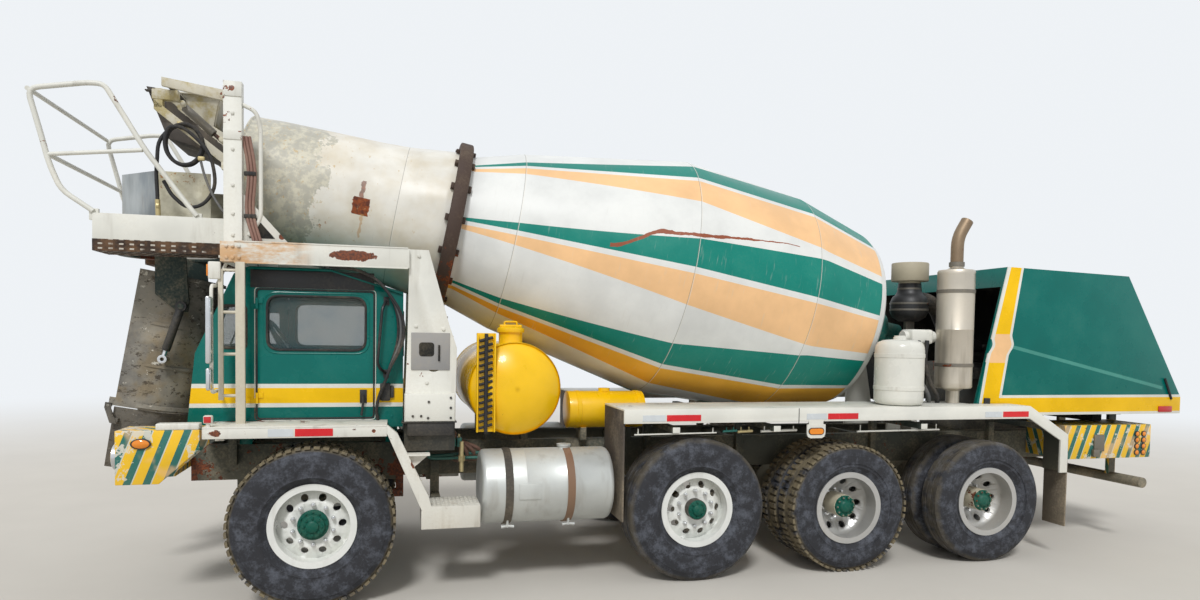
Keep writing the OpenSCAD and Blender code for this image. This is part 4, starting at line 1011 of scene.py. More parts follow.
class MIXER_OT_doors(bpy.types.Operator):
    """Doors with window seals, round window corners and levers"""
    bl_idname = "mixer_truck.doors"
    bl_label = "Doors"

    def execute(self, context):
        for side, hand in HANDS:
            node = f"door_{hand}"
            dressed(node, "Cab paint", 0.006)
            repaint(f"door_glass_{hand}", "Window glass")
            shape = Shape(side)
            for y in (CAB_SIDE, 0.799):
                frame_line(shape, window((-0.34, 1.79), (0.34, 2.18)), y, 0.009, 0.085)
            shape.piece(f"door_seals_{hand}", "Black rubber", "mudflaps", body=BODY_OF[node])
            # Round corners of the window, and the worn rim round it
            shape = Shape(side)
            for b, z, start in ((-0.34, 1.79, 180), (0.34, 1.79, 270), (0.34, 2.18, 0), (-0.34, 2.18, 90)):
                up, out = -1 if z < 2 else 1, math.copysign(1, b)
                bend = arc(b - 0.085 * out, z - 0.085 * up, 0.085, start, 90, 6)
                shape.plate([(b + 0.004 * out, z + 0.004 * up)] + bend, (0.803, 0.849))
            frame_line(shape, window((-0.365, 1.765), (0.365, 2.205)), 0.849, 0.006, 0.1)
            shape.piece(f"door_corners_{hand}", "Cab paint", node, smooth=30)
            shape = Shape(side)
            shape.block((0.3, 0.35), (0.849, 0.858), (1.4, 1.5), bevel=0.003)
            shape.rod((0.325, 0.85, 1.455), (0.325, 0.88, 1.455), 0.012)
            shape.pipe([(0.325, 0.88, 1.465), (0.325, 0.884, 1.4), (0.312, 0.882, 1.31)], 0.009, 0.02)
            shape.piece(f"door_lever_{hand}", "Black plastic", "steering_console", body=BODY_OF[node])
        return {"FINISHED"}


def padded_block(low, high, crown, channels):
    """A crowned seat pad between two corners, with sewn channels across it."""
    shape = Shape()
    shape.block((low[0], high[0]), (low[1], high[1]), (low[2], high[2]))
    bmesh.ops.subdivide_edges(shape.bm, edges=shape.bm.edges[:], cuts=11, use_grid_fill=True)
    bmesh.ops.recalc_face_normals(shape.bm, faces=shape.bm.faces)
    middle_of = at(*[(a + b) / 2 for a, b in zip(low, high)])
    half = [abs(b - a) / 2 for a, b in zip(low, high)]
    for vert in shape.bm.verts:
        off = vert.co - middle_of
        share = [min(1.0, abs(off[i]) / half[i]) for i in range(3)]
        order = sorted(share, reverse=True)
        pull = max(0.0, order[1] - 0.72) / 0.28
        vert.co = middle_of + off * (1 - 0.085 * pull ** 2)
        swell = (1 - share[0] ** 2) * (1 - share[1] ** 2)
        vert.co.z += math.copysign(1, off.z) * crown * swell * (share[2] > 0.9)
        seam = min(abs(off.y - k * half[1]) for k in channels)
        vert.co.z -= math.copysign(1, off.z) * 0.01 * math.exp(-(seam / 0.012) ** 2) * (share[2] > 0.9)
    return shape


class MIXER_OT_seat(bpy.types.Operator):
    """Driver's seat and the console with its wheel"""
    bl_idname = "mixer_truck.seat"
    bl_label = "Driving place"

    def execute(self, context):
        pads = {
            "seat_cushion": padded_block((0.005, -0.255, 1.605), (0.49, 0.255, 1.712), 0.01,
                                         (-0.5, 0.0, 0.5)),
            "seat_back": padded_block((-0.17, -0.235, -0.04), (0.17, 0.235, 0.04), 0.008, (-0.5, 0.0, 0.5)),
        }
        # The back is made lying down, then stood up and leaned
        back = pads["seat_back"].bm
        lean = Matrix.Rotation(math.radians(-84), 4, "Y")
        turn = Matrix.Translation(at(0.507, 0, 1.905)) @ lean @ Matrix.Translation(-at(0, 0, 0))
        bmesh.ops.transform(back, matrix=turn, verts=back.verts)
        for name, shape in pads.items():
            thing = shape.piece(name, "Black vinyl", "driver_seat", name == "seat_cushion", smooth=80)
            smooth = thing.modifiers.new("Round", "SUBSURF")
            smooth.levels = smooth.render_levels = 1
        shape = Shape()
        shape.block((0.06, 0.42), (-0.2, 0.2), (1.27, 1.33), bevel=0.01)
        shape.block((0.14, 0.34), (-0.12, 0.12), (1.33, 1.52), bevel=0.02)
        shape.block((0.04, 0.44), (-0.22, 0.22), (1.52, 1.6), bevel=0.015)
        for side in (-1, 1):
            shape.block((0.44, 0.5), (side * 0.16, side * 0.2), (1.58, 1.78), bevel=0.008)
        shape.piece("seat_base", "Black plastic", "steering_console")
        dressed("steering_console", "Black plastic", 0.006)
        return {"FINISHED"}


class MIXER_OT_stand(bpy.types.Operator):
    """Stand over the cab, with its bolts and plates, and the drum's rollers, drive and pedestal"""
    bl_idname = "mixer_truck.stand"
    bl_label = "Stand"

    def execute(self, context):
        dressed("front_support", "Stand paint", 0.007)
        shape = Shape()
        for _ in shape.sides():
            for y, radius, places, heights in ((1.0, 0.013, (-0.58, -0.54, -0.5), (2.43, 2.51)),
                                               (1.0, 0.012, (0.66, 0.8), (1.3, 1.45)),
                                               (0.88, 0.013, (-0.56,), (2.6, 2.75, 2.95, 3.2, 3.45))):
                for b in places:
                    for z in heights:
                        shape.bolt(b, y, z, radius)
            for b, z in ((0.719, 2.494), (0.7, 1.98), (0.9, 1.96), (0.78, 1.56)):
                shape.bolt(b, 0.96, z, 0.014)
            for z in (3.3, 3.6):
                shape.block((-0.62, -0.5), (0.878, 0.886), (z - 0.035, z + 0.035))
            shape.block((-0.53, 0.64), (0.985, 1.004), (2.392, 2.402))
            shape.block((-0.53, 0.64), (0.985, 1.004), (2.538, 2.548))
        shape.piece("stand_bolts", "Stand paint", "front_support", bevel=0.0015)

        shape = Shape()
        for _ in shape.sides():
            y = (0.958, 0.968)
            # Grey plate over the leg's middle, where it leans in and faces down, as painted shade
            shape.block((0.666, 0.949), y, (1.653, 1.93), bevel=0.006)
            shape.use(1).block((0.625, 0.985), (1.0, 1.016), (1.276, 1.478), bevel=0.005)
            shape.use(2).block((0.64, 0.98), (0.962, 0.998), (1.165, 1.262), bevel=0.006)
            shape.block((0.6, 1.0), (0.9, 1.005), (1.262, 1.272))
            for b, z in ((0.68, 1.315), (0.74, 1.315), (0.79, 1.3), (0.795, 1.42), (0.955, 1.3),
                         (0.955, 1.45), (0.955, 1.375)):
                shape.rod((b, 1.016, z), (b, 1.024, z), 0.009)
        shape.piece("leg_plates", ["Grey plate", "Clean white paint", "Black plastic"], "ladder")

        # Dark plates in the leg's holes and the mast's three-cornered holes, as painted shade
        shape = Shape()
        for _ in shape.sides():
            corners = ((0.745, 1.776, 180), (0.811, 1.776, 270), (0.811, 1.836, 0), (0.745, 1.836, 90))
            shape.plate([spot for b, z, start in corners for spot in arc(b, z, 0.022, start, 90, 4)],
                        (0.962, 0.9695))
            shape.block((0.862, 0.876), (0.968, 0.98), (1.72, 1.84), bevel=0.003)
            for y0, y1 in ((0.8495, 0.8525), (0.8275, 0.8305)):
                shape.plate([(-0.455, 2.585), (-0.285, 2.585), (-0.455, 2.78)], (y0, y1))
        shape.piece("leg_hole_shade", "Dark inside", "mudflaps")

        repaint("drum_rollers", "Bare steel")
        dressed("drum_drive", "Green paint", 0.006)
        dressed("rear_pedestal", "Deck paint", 0.004)
        return {"FINISHED"}


class MIXER_OT_platform(bpy.types.Operator):
    """Platform, guard rail, ladder and mirrors"""
    bl_idname = "mixer_truck.platform"
    bl_label = "Platform and rail"

    def execute(self, context):
        def pick(face):
            return 1 if face.normal.z < -0.3 or max(v.co.z for v in face.verts) < 2.5465 else 0

        dressed("platform", ["Stand paint", "Platform rust"], 0.003, pick=pick)
        shape = Shape()
        for _ in shape.sides():
            shape.block((-1.48, -0.62), (0.747, 0.7515), (2.464, 2.546))
            shape.block((-1.48, -0.62), (0.47, 0.738), (2.466, 2.47))
        for _ in shape.sides():
            shape.block((-1.4815, -1.4785), (0.42, 0.7515), (2.464, 2.546))
        shape.piece("platform_grating", "Platform rust", "platform")
        foot, y = 2.735, 0.744
        shape = Shape()
        for _ in shape.sides():
            shape.pipe([(-0.82, y, foot), (-0.88, y, 2.81), (-1.15, y, 3.18), (-1.4, y, 3.61),
                        (-1.5, y, 3.61), (-1.862, y, 3.54), (-1.78, y, 3.22), (-1.74, y, 3.05),
                        (-1.67, y, 2.87), (-1.474, y, foot)], 0.018, 0.07, sides=3)
            shape.pipe([(-1.745, y, 3.105), (-1.165, y, 3.175)], 0.0145, sides=3)
            for b in (-0.82, -1.474):
                shape.block((b - 0.03, b + 0.03), (y - 0.006, y - 0.03), (foot - 0.06, foot + 0.02),
                            bevel=0.003)
        for b, z in ((-1.862, 3.54), (-1.745, 3.105)):
            shape.pipe([(b, -y, z), (b, y, z)], 0.016, sides=3)
        shape.piece("guard_rail", "Stand paint", "platform_rail", True)

        dressed("ladder", "Ladder paint", 0.003)
        shape = Shape()
        for _ in shape.sides():
            arm, out = 0.94, 1.11
            shape.pipe([(-0.652, 0.863, 1.5), (-0.652, out, 1.5), (-0.652, out, 2.23), (-0.652, arm, 2.23),
                        (-0.592, arm, 2.39)], 0.012, 0.05, sides=3)
        shape.piece("mirror_frames", "White paint", "mirrors", True)
        shape = Shape()
        for _ in shape.sides():
            head, inner = (1.12, 1.212), (1.126, 1.206)
            shape.use(0).block((-0.67, -0.64), head, (1.7, 2.15), bevel=0.01)
            shape.use(0).block((-0.668, -0.642), head, (1.52, 1.67), bevel=0.01)
            shape.use(1).block((-0.642, -0.637), inner, (1.712, 2.138), bevel=0.004)
            shape.use(1).block((-0.642, -0.638), inner, (1.53, 1.66), bevel=0.004)
            for z in (1.6, 1.78, 2.08):
                shape.use(0).rod((-0.652, 1.11, z), (-0.654, 1.13, z), 0.012)
        shape.piece("mirror_heads", ["Bright steel", "Mirror glass"], "mirrors")

        shape = Shape()
        shape.use(0).block((-0.69, -0.61), (1.003, 1.036), (2.275, 2.395), bevel=0.01)
        shape.use(1).block((-0.7, -0.69), (1.008, 1.031), (2.295, 2.375), bevel=0.004)
        shape.piece("ladder_lamp", ["White paint", "Amber lens"], "ladder")
        return {"FINISHED"}


class MIXER_OT_chutes(bpy.types.Operator):
    """Collector, charging hopper, chute, folding chute and lift cylinders"""
    bl_idname = "mixer_truck.chutes"
    bl_label = "Hoppers and chutes"

    def execute(self, context):
        dressed("discharge_hopper", "Hopper steel", 0.002)

        def hopper_pick(face):
            spot = face.calc_center_median()
            if abs(spot.y) > 0.62 or spot.z > 3.69:
                return 0
            # Upward faces take cement; downward faces take the darkened cement as painted shade
            return 1 if face.normal.z > 0.2 else 2 if face.normal.z < -0.2 else 0

        dressed("charge_hopper", ["Hopper paint", "Cement", "Dark cement"], 0.002, pick=hopper_pick)
        # Props below the hopper's arms, with a saddle for its cross bar and a small cylinder inside them
        shape = Shape()
        for _ in shape.sides():
            wide = (0.6, 0.655)
            shape.use(0).plate([(-1.118, 3.49), (-1.118, 3.56), (-0.606, 3.165), (-0.606, 3.06),
                                (-0.64, 3.06), (-0.64, 3.115)], wide)
            shape.block((-1.13, -0.96), (0.595, 0.66), (3.56, 3.632), bevel=0.006)
            shape.block((-1.118, -1.06), wide, (3.5, 3.565), bevel=0.004)
            shape.block((-0.642, -0.6), (0.6, 0.84), (3.06, 3.11), bevel=0.004)
            shape.use(1).rod((-0.94, 0.56, 3.54), (-0.745, 0.56, 3.365), 0.03)
            shape.use(2).rod((-0.745, 0.56, 3.365), (-0.64, 0.56, 3.27), 0.014)
            shape.use(0).rod((-0.64, 0.54, 3.27), (-0.64, 0.84, 3.27), 0.018)
            shape.rod((-0.94, 0.54, 3.54), (-0.94, 0.62, 3.56), 0.018)
        shape.piece("hopper_props", ["Hopper paint", "Bare steel", "Brown rust"], "front_support",
                    bevel=0.002)
        for node, name, bevel in (("chute_pivot", "Frame paint", 0.003), ("main_chute", "Cement", 0.002),
                                  ("folding_chute", "Dark cement", 0.002),
                                  ("lift_barrels", "Black plastic", 0.002),
                                  ("lift_rods", "Bright steel", 0.001)):
            dressed(node, name, bevel)
        # Stiffening bands round the chute
        shape = Shape()
        place = Matrix.Translation(at(-1.14, 0, 2.25)) @ Matrix.Rotation(math.radians(-10), 4, "Y")
        for low, high, out in ((0.07, 0.095, 0.33), (-0.3, -0.275, 0.322), (-0.62, -0.6, 0.322),
                               (-0.935, -0.905, 0.345)):
            where = Matrix.Translation((0, 0, (low + high) / 2))
            grown = bmesh.ops.create_cone(shape.bm, cap_ends=False, segments=48, radius1=out, radius2=out,
                                          depth=high - low, matrix=where)
            verts = grown["verts"]
            around = {e for v in verts for e in v.link_edges} | {f for v in verts for f in v.link_faces}
            bmesh.ops.bisect_plane(shape.bm, geom=verts + list(around), plane_co=(0.06, 0, 0),
                                   plane_no=(1, 0, 0), clear_outer=True)
        bmesh.ops.translate(shape.bm, verts=shape.bm.verts, vec=(-0.02, 0, 0))
        bmesh.ops.recalc_face_normals(shape.bm, faces=shape.bm.faces)
        bmesh.ops.solidify(shape.bm, geom=shape.bm.faces[:], thickness=0.014)
        bmesh.ops.transform(shape.bm, matrix=place, verts=shape.bm.verts)
        shape.piece("chute_bands", "Cement", "main_chute")
        return {"FINISHED"}


def reflector(shape, low, high, z, half):
    """A red strip on the deck's edge, with a silver one ahead of it."""
    wide, tall = (1.22, 1.223), (z - half, z + half)
    shape.use(0).block((low, high), wide, tall)
    shape.use(1).block((low - 0.012 - 0.65 * (high - low), low - 0.012), wide, tall)


def lamp(shape, where, steps, rim_look, rim, lens_look, lens):
    """A rim and a domed lens, both as points (radius, height) round the Z axis of a frame."""
    shape.use(rim_look).lathe(rim, where, steps)
    shape.use(lens_look).lathe(lens, where, steps)


def stadium(back, z, half, radius):
    """Outline of a plate with round ends in the side view."""
    return arc(back + half, z, radius, -90, 180, 8) + arc(back - half, z, radius, 90, 180, 8)


class MIXER_OT_front(bpy.types.Operator):
    """Front bumper with hazard stripes and lamps"""
    bl_idname = "mixer_truck.front"
    bl_label = "Front bumper"

    def execute(self, context):
        dressed("front_bumper", "Hazard paint", 0.006)
        shape = Shape()
        for side in shape.sides():
            for y in (0.89, 1.06):
                where = aim(at(-1.228, side * y, 1.07), (1, 0, 0))
                lamp(shape, where, 40, 0, [(0.088, 0.0), (0.088, 0.024), (0.08, 0.03), (0.074, 0.024)],
                     1, [(0.076, 0.022), (0.06, 0.029), (0.03, 0.033), (0.0, 0.034)])
            where = aim(at(-1.073, side * 1.149, 1.163), (0, side, 0))
            stretch = (1, 1.75, 1, 1) if abs(where.col[0].z) > 0.5 else (1.75, 1, 1, 1)
            where = where @ Matrix.Diagonal(stretch)
            lamp(shape, where, 32, 3, [(0.035, 0.0), (0.036, 0.012), (0.03, 0.016)],
                 2, [(0.032, 0.012), (0.024, 0.022), (0.0, 0.026)])
            shape.use(4).block((-0.989, -0.722), (1.06, 1.148), (1.25, 1.295), bevel=0.008)
        shape.piece("bumper_lamps", ["Bright steel", "Clear lens", "Amber lens", "Black rubber",
                                     "White paint"], "front_bumper", smooth=50)
        return {"FINISHED"}


class MIXER_OT_fenders(bpy.types.Operator):
    """Front fenders, rear decks, reflectors, marker lamps and flaps"""
    bl_idname = "mixer_truck.fenders"
    bl_label = "Fenders and decks"

    def execute(self, context):
        dressed("front_fenders", ["Fender paint", "Frame paint"], 0.003,
                pick=lambda face: 1 if abs(face.calc_center_median().y) < 0.79 else 0)

        def rear_pick(face):
            spot = face.calc_center_median()
            return 1 if spot.z < 1.228 and abs(spot.y) < 1.199 else 0

        decks = dressed("rear_fenders", ["Deck paint", "Frame paint"], 0.003, pick=rear_pick)
        # The marker's block sinks to a thin plate, to leave room for its lens
        for vert in decks.data.vertices:
            vert.co.y = max(-1.2215, min(1.2215, vert.co.y))
        dressed("mudflaps", "Flap rubber", 0.003)
        shape = Shape()
        for _ in shape.sides():
            for low, high, z, half in ((-0.108, 0.139, 1.231, 0.026), (2.582, 2.863, 1.3, 0.024),
                                       (3.971, 4.249, 1.3, 0.024), (5.676, 5.941, 1.3, 0.024)):
                reflector(shape, low, high, z, half)
            shape.use(2)
            shape.plate([(3.782, 1.236), (3.782, 1.16), (3.791, 1.136), (3.814, 1.124), (3.916, 1.124),
                         (3.939, 1.136), (3.948, 1.16), (3.948, 1.236)], (1.214, 1.2255))
            shape.use(5).plate(stadium(3.865, 1.18, 0.042, 0.029), (1.225, 1.2285))
            shape.use(3).plate(stadium(3.865, 1.18, 0.04, 0.023), (1.228, 1.2315))
            shape.use(5).block((3.706, 3.712), (1.2195, 1.2215), (1.23, 1.368))
            shape.use(2).rod((-0.658, 1.19, 1.275), (-0.658, 1.19, 1.3), 0.014)
            shape.use(2).block((-0.685, -0.63), (1.165, 1.212), (1.298, 1.352), bevel=0.008)
            shape.use(4).block((-0.68, -0.635), (1.21, 1.217), (1.304, 1.346), bevel=0.003)
            # Shelf and gusset behind the leg of the fender
            shape.use(2).block((0.603, 0.798), (1.12, 1.215), (1.05, 1.062))
            shape.use(2).plate([(0.62, 1.05), (0.79, 1.05), (0.66, 0.94)], (1.16, 1.17))
        shape.piece("side_markers", ["Red reflector", "Silver reflector", "White paint", "Amber lens",
                                     "Red lens", "Dark inside"], "front_fenders")
        # Raised bars of the treadplate on the steps
        shape = Shape()
        for _ in shape.sides():
            for i in range(13):
                for k in range(9):
                    b, y = 0.775 + i * 0.03, 0.905 + k * 0.036
                    tilt = 0.009 if (i + k) % 2 else -0.009
                    shape.rod((b - 0.009, y - tilt, 0.6825), (b + 0.009, y + tilt, 0.6825), 0.0022, sides=4)
        shape.piece("step_treads", "White paint", "front_fenders")
        return {"FINISHED"}


class MIXER_OT_tanks(bpy.types.Operator):
    """Water, admixture, fuel and hydraulic tanks"""
    bl_idname = "mixer_truck.tanks"
    bl_label = "Tanks"

    def execute(self, context):
        def water_pick(face):
            spot = face.calc_center_median()
            if AXLE_X - spot.x < 1.252 and spot.y > 0.79 and spot.y < 0.86:
                return 1
            far = math.hypot(AXLE_X - spot.x - TANK_SPOT[0], spot.z - TANK_SPOT[1])
            inside = spot.z < 1.2 and abs(spot.y) < 0.44 and far > 0.357
            return 2 if spot.z < 1.5 and far > 0.37 or inside else 0

        dressed("water_tank", ["Yellow paint", "Black plastic", "Frame paint"], 0.004, pick=water_pick)
        shape = Shape()
        across = aim(at(TANK_SPOT[0], 0, TANK_SPOT[1]), (0, 1, 0))
        for side in (1, -1):
            shape.lathe([(0.354, side * 0.875), (0.359, side * 0.885), (0.36, side * 0.9),
                         (0.354, side * 0.915)], across, steps=72)
        up = Matrix.Translation(at(TANK_SPOT[0], 0.62, 0))
        shape.lathe([(0.0, 1.992), (0.06, 1.99), (0.098, 1.982), (0.108, 1.972), (0.11, 1.944)], up,
                    steps=48)
        shape.block((1.36, 1.54), (0.605, 0.635), (1.985, 2.006), bevel=0.006)
        shape.pipe([(1.4, 0.62, 2.0), (1.4, 0.62, 2.03), (1.5, 0.62, 2.03), (1.5, 0.62, 2.0)], 0.008, 0.02)
        shape.piece("water_tank_cap", "Yellow paint", "water_tank", smooth=50)
        # Sight gauge: yellow channel with a black clip strip in it
        shape = Shape()
        shape.block((1.144, 1.286), (0.972, 0.98), (1.187, 1.934), bevel=0.003)
        shape.block((1.144, 1.156), (0.972, 1.022), (1.187, 1.934), bevel=0.003)
        shape.block((1.274, 1.286), (0.972, 1.022), (1.187, 1.934), bevel=0.003)
        for z in (1.22, 1.45, 1.82):
            shape.block((1.19, 1.26), (0.84, 0.976), (z, z + 0.08), bevel=0.004)
        for i in range(15):
            z = 1.215 + i * 0.047
            shape.use(1).rod((1.165, 0.992, z), (1.265, 0.992, z + 0.03), 0.011, sides=8)
        shape.use(1).tube([(1.215, 1.002, 1.19), (1.215, 1.002, 1.93)], 0.014)
        shape.piece("water_gauge", ["Yellow paint", "Black rubber"], "water_tank")

        dressed("side_tank", ["Yellow paint", "Frame paint"], 0.004,
                pick=lambda face: 1 if face.calc_center_median().z < 1.145 else 0)
        shape = Shape()
        for b in (2.02, 2.54):
            shape.strap(aim(at(b, 0.45, 1.303), (-1, 0, 0)), 0.154, 0.0, 0.04, 0.006, 0.004, steps=48)
        shape.piece("side_tank_straps", "Yellow paint", "side_tank")

        shape = Shape()
        for side in shape.sides():
            start = aim(at(1.18, side * 0.9, 0.76), (-1, 0, 0))
            long = 1.01
            end = [(0.0, 0.016), (0.18, 0.014), (0.215, 0.006), (0.245, 0.0), (0.262, 0.003), (0.277, 0.014),
                   (0.285, 0.036)]
            ribs = [(0.285, 0.33), (0.2865, 0.333), (0.285, 0.336),
                    (0.285, 0.66), (0.2865, 0.663), (0.285, 0.666)]
            shape.use(0).lathe(end + ribs + [(r, long - h) for r, h in reversed(end)], start, steps=96)
            for index, low in ((1, 0.17), (2, 0.64)):
                shape.use(index).strap(start, 0.284, low, 0.06, 0.007, steps=96)
                # Bracket behind the tank and the strap's bolt below it
                b0, b1 = 1.18 + low, 1.24 + low
                y = (0.43, 0.66)
                shape.use(3).block((b0, b1), y, (0.475, 0.98), bevel=0.004)
                shape.use(3).block((b0, b1), (0.6, 0.92), (0.462, 0.482), bevel=0.003)
                mid = (b0 + b1) / 2
                shape.use(0).rod((mid, 1.06, 0.54), (mid, 1.06, 0.469), 0.01)
                for lean in (-1, 1):
                    shape.rod((mid, 1.06, 0.48), (mid + lean * 0.048, 1.06, 0.474), 0.009, 0.013)
            up = Matrix.Translation(at(1.84, side * 0.9, 1.03))
            shape.use(0).lathe([(0.06, 0.0), (0.056, 0.012), (0.05, 0.016), (0.05, 0.028), (0.056, 0.03),
                                (0.056, 0.044), (0.0, 0.045)], up, steps=40)
            shape.use(0).block((1.45, 1.62), (1.16, 1.1885), (0.7, 0.82), bevel=0.006)
        shape.piece("fuel_tank_shells", ["Tank aluminium", "Black rubber", "Strap rust", "Frame paint"],
                    "fuel_tanks", True, smooth=45)

        shape = Shape()
        up = Matrix.Translation(at(4.79, 0.985, 0))
        shape.use(0).lathe([(0.0, 1.372), (0.15, 1.372), (0.185, 1.38), (0.203, 1.405), (0.205, 1.44),
                            (0.205, 1.84), (0.2, 1.88), (0.18, 1.912), (0.14, 1.93), (0.06, 1.938),
                            (0.0, 1.94)], up, steps=72)
        shape.use(0).lathe([(0.055, 1.93), (0.055, 1.955), (0.048, 1.958), (0.048, 1.97), (0.0, 1.97)], up,
                           steps=32)
        for z in (1.5, 1.78):
            shape.use(1).strap(up, 0.204, z, 0.036)
        shape.piece("hydraulic_tank_shell", ["Clean white paint", "White paint"], "hydraulic_tank", True,
                    smooth=50)
        return {"FINISHED"}


class MIXER_OT_engine(bpy.types.Operator):
    """Engine, radiator, air cleaner and exhaust"""
    bl_idname = "mixer_truck.engine"
    bl_label = "Engine, intake and exhaust"

    def execute(self, context):
        shape = Shape()
        shape.use(0).block((6.0, 7.05), (-0.26, 0.26), (1.16, 1.72), bevel=0.02)
        shape.block((5.98, 7.02), (-0.32, 0.32), (1.052, 1.17), bevel=0.02)
        shape.block((6.02, 7.0), (-0.16, 0.16), (1.72, 1.84), bevel=0.03)
        for i in range(6):
            b = 6.08 + i * 0.155
            shape.block((b, b + 0.12), (-0.13, 0.13), (1.84, 1.9), bevel=0.02)
            for near, far in ((0.26, 0.36), (-0.26, -0.34)):
                shape.rod((b + 0.06, near, 1.62), (b + 0.06, far, 1.62), 0.035)
        for low, high, y, z, radius in ((6.08, 6.98, 0.36, 1.62, 0.055), (6.08, 6.98, -0.35, 1.62, 0.05),
                                        (6.3, 6.6, 0.36, 1.45, 0.075)):
            shape.rod((low, y, z), (high, y, z), radius)
        shape.rod((7.05, 0.0, 1.45), (7.12, 0.0, 1.45), 0.12, sides=32)
        for i in range(6):
            turn = math.radians(60 * i)
            shape.rod((7.15, 0, 1.45), (7.15, 0.3 * math.cos(turn), 1.45 + 0.3 * math.sin(turn)), 0.012,
                      0.05, sides=4)
        shape.rod((7.05, 0, 1.45), (7.17, 0, 1.45), 0.05)
        shape.use(1).block((7.3, 7.42), (-0.6, 0.6), (1.152, 1.9), bevel=0.012)
        for i in range(44):
            z = 1.2 + i * 0.0152
            shape.block((7.288, 7.305), (-0.54, 0.54), (z, z + 0.004))
        shape.use(2).tube([(5.95, 0.3, 1.65), (6.1, 0.33, 1.65), (6.2, 0.36, 1.62)], 0.045, soft=True)
        shape.use(2).tube([(5.93, 0.3, 1.9), (6.08, 0.2, 1.92), (6.3, 0.12, 1.88)], 0.07, soft=True)
        shape.piece("engine_detail", ["Engine grey", "Dark inside", "Black rubber"], "engine", True)

        shape = Shape()
        up = Matrix.Translation(at(5.295, 0.4, 0))
        shape.use(0).lathe([(0.0, 2.11), (0.09, 2.112), (0.15, 2.15), (0.172, 2.2), (0.172, 2.29),
                            (0.15, 2.345), (0.128, 2.36), (0.11, 2.4), (0.104, 2.47)], up, steps=56)
        shape.use(1).lathe([(0.1, 2.44), (0.1, 2.486), (0.164, 2.492), (0.168, 2.498), (0.168, 2.655),
                            (0.162, 2.664), (0.06, 2.669), (0.0, 2.669)], up, steps=56)
        for r, z in ((0.171, 2.21), (0.171, 2.27), (0.105, 2.41)):
            shape.use(3).strap(up, r, z, 0.02, steps=56)
        shape.use(2).tube([(5.295, 0.4, 2.3), (5.42, 0.4, 2.32), (5.56, 0.4, 2.27), (5.7, 0.34, 2.14),
                           (5.8, 0.3, 1.98), (5.87, 0.3, 1.905), (5.95, 0.3, 1.9)], 0.074, soft=True,
                          sides=5)
        shape.use(3).block((5.25, 5.34), (0.385, 0.43), (1.052, 2.2), bevel=0.004)
        shape.piece("air_cleaner_detail", ["Black plastic", "Cap beige", "Black rubber", "Bare steel"],
                    "air_cleaner", True, smooth=50)

        shape = Shape()
        up = Matrix.Translation(at(5.45, 0.85, 0))
        shape.use(0).lathe([(0.058, 1.372), (0.058, 1.48), (0.09, 1.5), (0.15, 1.506), (0.16, 1.52),
                            (0.1585, 1.56), (0.1585, 2.03), (0.1605, 2.034), (0.1585, 2.038), (0.1585, 2.53),
                            (0.16, 2.552), (0.15, 2.568), (0.09, 2.574), (0.058, 2.59), (0.058, 2.64)], up,
                           steps=72)
        shape.use(1).pipe([(5.45, 0.85, 2.58), (5.45, 0.85, 2.86), (5.545, 0.85, 3.015)], 0.055, 0.16,
                          sides=6)
        shape.use(2).strap(up, 0.058, 2.6, 0.042, 0.008, steps=40)
        shape.use(1).tube([(5.45, 0.85, 2.2), (5.6, 0.68, 2.02), (5.75, 0.5, 1.8), (5.88, 0.32, 1.66),
                           (5.95, 0.3, 1.65)], 0.045, soft=True, sides=4)
        for z in (1.7, 2.36):
            shape.use(2).strap(up, 0.1585, z, 0.032, 0.0055)
        shape.piece("exhaust_detail", ["Muffler steel", "Stack steel", "Bare steel"], "exhaust", True,
                    smooth=50)
        return {"FINISHED"}


class MIXER_OT_hood(bpy.types.Operator):
    """Tilting hood with its latches, straps, red markers and vents"""
    bl_idname = "mixer_truck.hood"
    bl_label = "Hood"

    def execute(self, context):
        def hood_pick(face):
            spot, n = face.calc_center_median(), face.normal
            # Faces that look inwards or down, and forward-facing faces at the hood's rear, take the
            # near-black finish as painted shade
            if n.y * spot.y < -0.3 * abs(spot.y) or n.z < -0.3 and spot.z > 1.3:
                return 1
            return 1 if n.x > 0.3 and AXLE_X - spot.x > 6.5 else 0

        dressed("engine_hood", ["Hood paint", "Dark inside"], 0.012, pick=hood_pick)
        shape = Shape()
        for _ in shape.sides():
            y = 0.95
            shape.use(0).block((5.7, 5.76), (y, y + 0.018), (1.3, 1.42), bevel=0.004)
            shape.use(0).rod((5.73, y, 1.36), (5.73, y + 0.03, 1.36), 0.016)
            shape.use(0).rod((7.77, y + 0.006, 1.6), (7.86, y + 0.006, 1.4), 0.011)
            shape.use(1).block((7.707, 7.871), (y, y + 0.01), (1.276, 1.332), bevel=0.004)
        shape.piece("hood_fittings", ["Black rubber", "Red lens"], "engine_hood")
        # Dark slats over the vents, as painted shade in their openings
        shape = Shape()
        for i in range(12):
            b = 6.15 + i * 0.085
            fall = 0.04 * (b - 5.92) / 1.37
            shape.block((b, b + 0.045), (-0.62, 0.62), (2.598 - fall, 2.609 - fall))
        shape.piece("hood_vent_shade", "Dark inside", "engine_hood")
        return {"FINISHED"}


